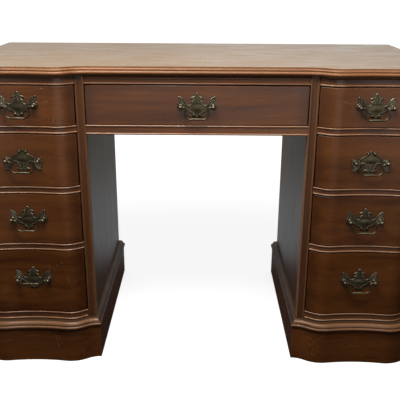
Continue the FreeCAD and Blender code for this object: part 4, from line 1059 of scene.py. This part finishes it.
class DESK_OT_set_stage(bpy.types.Operator):
    """Set the camera, the lamps, the white surroundings and the floor"""
    bl_idname = "desk.set_stage"
    bl_label = "Set the stage"

    def execute(self, context):
        stage = context.scene.desk_stage
        context.scene.view_settings.view_transform = "Standard"
        self.set_camera(context, stage)
        self.set_lamps(stage)
        self.set_world(context, stage)
        self.set_floor()
        return {"FINISHED"}

    def set_camera(self, context, stage):
        """A camera turned by yaw, then pitch, then roll."""
        forward = Vector((math.sin(stage.yaw) * math.cos(stage.pitch),
                          math.cos(stage.yaw) * math.cos(stage.pitch), -math.sin(stage.pitch)))
        level = Vector((math.cos(stage.yaw), -math.sin(stage.yaw), 0.0))
        down = forward.cross(level)
        right = math.cos(stage.roll) * level + math.sin(stage.roll) * down
        down = math.cos(stage.roll) * down - math.sin(stage.roll) * level
        turn = Matrix((right, -down, -forward)).transposed().to_4x4()
        data = bpy.data.cameras.new("desk_camera")
        data.sensor_width = SENSOR_WIDTH
        data.lens = stage.lens
        camera = link_new("desk_camera", data)
        camera.matrix_world = Matrix.Translation(stage.camera_place) @ turn
        context.scene.camera = camera

    def set_lamps(self, stage):
        """Flat lamps that look at their aims."""
        for name, place, aim, wide, deep in LAMPS:
            data = bpy.data.lights.new(f"{name}_lamp", "AREA")
            data.shape = "RECTANGLE"
            data.size = wide
            data.size_y = deep
            data.energy = getattr(stage, f"{name}_power")
            lamp = link_new(f"{name}_lamp", data)
            lamp.location = place
            lamp.rotation_euler = (Vector(aim) - Vector(place)).to_track_quat("-Z", "Y").to_euler()

    def set_world(self, context, stage):
        """White for the camera. Polish and metal see a bright wall behind the desk, and before it a room that
        is brightest near the middle. Other light is dim in front and stronger from behind."""
        world = bpy.data.worlds.new("white_studio")
        context.scene.world = world
        bench = Bench(world)
        camera, seen = seen_rays(bench)
        x, y, z = bench.parts(bench.add("ShaderNodeTexCoord").outputs["Generated"])
        behind = bench.span(y, -0.10, 0.25, to_high=0.78)
        from_middle = bench.math("ABSOLUTE", bench.math("SUBTRACT", x, 0.13))
        room = bench.product(bench.span(z, -0.36, -0.16), bench.span(from_middle, 0.08, 0.42, 1.0, 0.25))
        white = bench.math("MAXIMUM", camera, bench.math("MAXIMUM", behind, room))
        rear = bench.span(y, 0.0, 0.5, stage.ambient, stage.ambient + stage.rear_light)
        dim = bench.product(bench.math("SUBTRACT", 1.0, seen), rear)
        strength = bench.math("ADD", bench.product(seen, white), dim)
        background = bench.add("ShaderNodeBackground", {"Color": WHITE, "Strength": strength})
        bench.add("ShaderNodeOutputWorld", {"Surface": background.outputs[0]})

    def set_floor(self):
        """A pale floor that turns white for the camera away from the desk; under each plinth its glow stops
        as a painted shadow. Polish and metal see it bright behind the desk and dark in front, the dark under
        the desk being a painted shadow, a little blue near by and a little yellow far off."""
        bench = Bench(bpy.data.materials.new("pale_floor"))
        camera, seen = seen_rays(bench)
        place = bench.place()
        x, y, _ = bench.parts(place)
        pale = bench.span(bench.measure("LENGTH", place), 0.7, 2.2, 0.80, 1.0)
        far = bench.span(y, 0.7, 1.8)
        # Polish and metal see the floor dark under the desk as a painted shadow, and dark in front as a dim
        # room.
        mirrored = bench.product(bench.span(y, 0.26, 0.46, 0.03, 0.66), bench.span(far, 0.0, 1.0, 1.0, 0.50))
        glow = bench.product(seen, bench.mix(camera, mirrored, pale))
        # Painted shadow: the floor stops glowing under each plinth.
        for side in SIDES:
            low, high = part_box(f"{side}_plinth")
            under = bench.math("MINIMUM", bench.within(x, low.x, high.x),
                               bench.within(y, low.y + PLINTH_SHADOW_INSET, high.y))
            glow = bench.product(glow, bench.span(under, 0.006, 0.012, 1.0, 0.0))
        tint = bench.mix(far, (0.86, 0.95, 1.0), (1.0, 1.0, 0.92))
        material = bench.finish(
            Base_Color=bench.mix(camera, scaled(WHITE, 0.05), scaled(WHITE, 0.60)), Roughness=0.9,
            Specular_IOR_Level=0.0, Emission_Color=bench.mix(camera, tint, WHITE), Emission_Strength=glow)
        corners = [
            (-FLOOR_HALF, FLOOR_FRONT, 0.0), (FLOOR_HALF, FLOOR_FRONT, 0.0),
            (FLOOR_HALF, FLOOR_BACK, 0.0), (-FLOOR_HALF, FLOOR_BACK, 0.0),
        ]
        mesh = bpy.data.meshes.new("pale_floor")
        mesh.from_pydata(corners, [], [(0, 1, 2, 3)])
        mesh.materials.append(material)
        floor = link_new("pale_floor", mesh)


class DESK_PT_dressing(bpy.types.Panel):
    """Lists the steps that dress the desk, and what a user may change"""
    bl_label = "Pedestal desk"
    bl_idname = "DESK_PT_dressing"
    bl_space_type = "VIEW_3D"
    bl_region_type = "UI"
    bl_category = "Desk"

    def draw(self, context):
        for step in STEPS:
            self.layout.operator(step.bl_idname)
        for group in GROUPS:
            settings = getattr(context.scene, group)
            for name in settings.bl_rna.properties.keys():
                if name not in ("rna_type", "name"):
                    self.layout.prop(settings, name)


GROUPS = {"desk_wood": DeskWood, "desk_brass": DeskBrass, "desk_pulls": DeskPulls, "desk_stage": DeskStage}
STEPS = (
    DESK_OT_finish_top, DESK_OT_finish_case, DESK_OT_finish_base, DESK_OT_finish_drawers,
    DESK_OT_finish_inside, DESK_OT_make_pulls, DESK_OT_make_bails, DESK_OT_set_stage,
)
CLASSES = (*GROUPS.values(), *STEPS, DESK_PT_dressing)


def register():
    """Add the classes, and the settings of the scene."""
    for kind in CLASSES:
        bpy.utils.register_class(kind)
    for name, group in GROUPS.items():
        setattr(bpy.types.Scene, name, bpy.props.PointerProperty(type=group))


def unregister():
    """Take the settings and the classes away again."""
    for name in GROUPS:
        delattr(bpy.types.Scene, name)
    for kind in reversed(CLASSES):
        bpy.utils.unregister_class(kind)


def main():
    """Dress the desk step by step."""
    register()
    bpy.ops.desk.finish_top()
    bpy.ops.desk.finish_case()
    bpy.ops.desk.finish_base()
    bpy.ops.desk.finish_drawers()
    bpy.ops.desk.finish_inside()
    bpy.ops.desk.make_pulls()
    bpy.ops.desk.make_bails()
    bpy.ops.desk.set_stage()


if __name__ == "__main__":
    main()
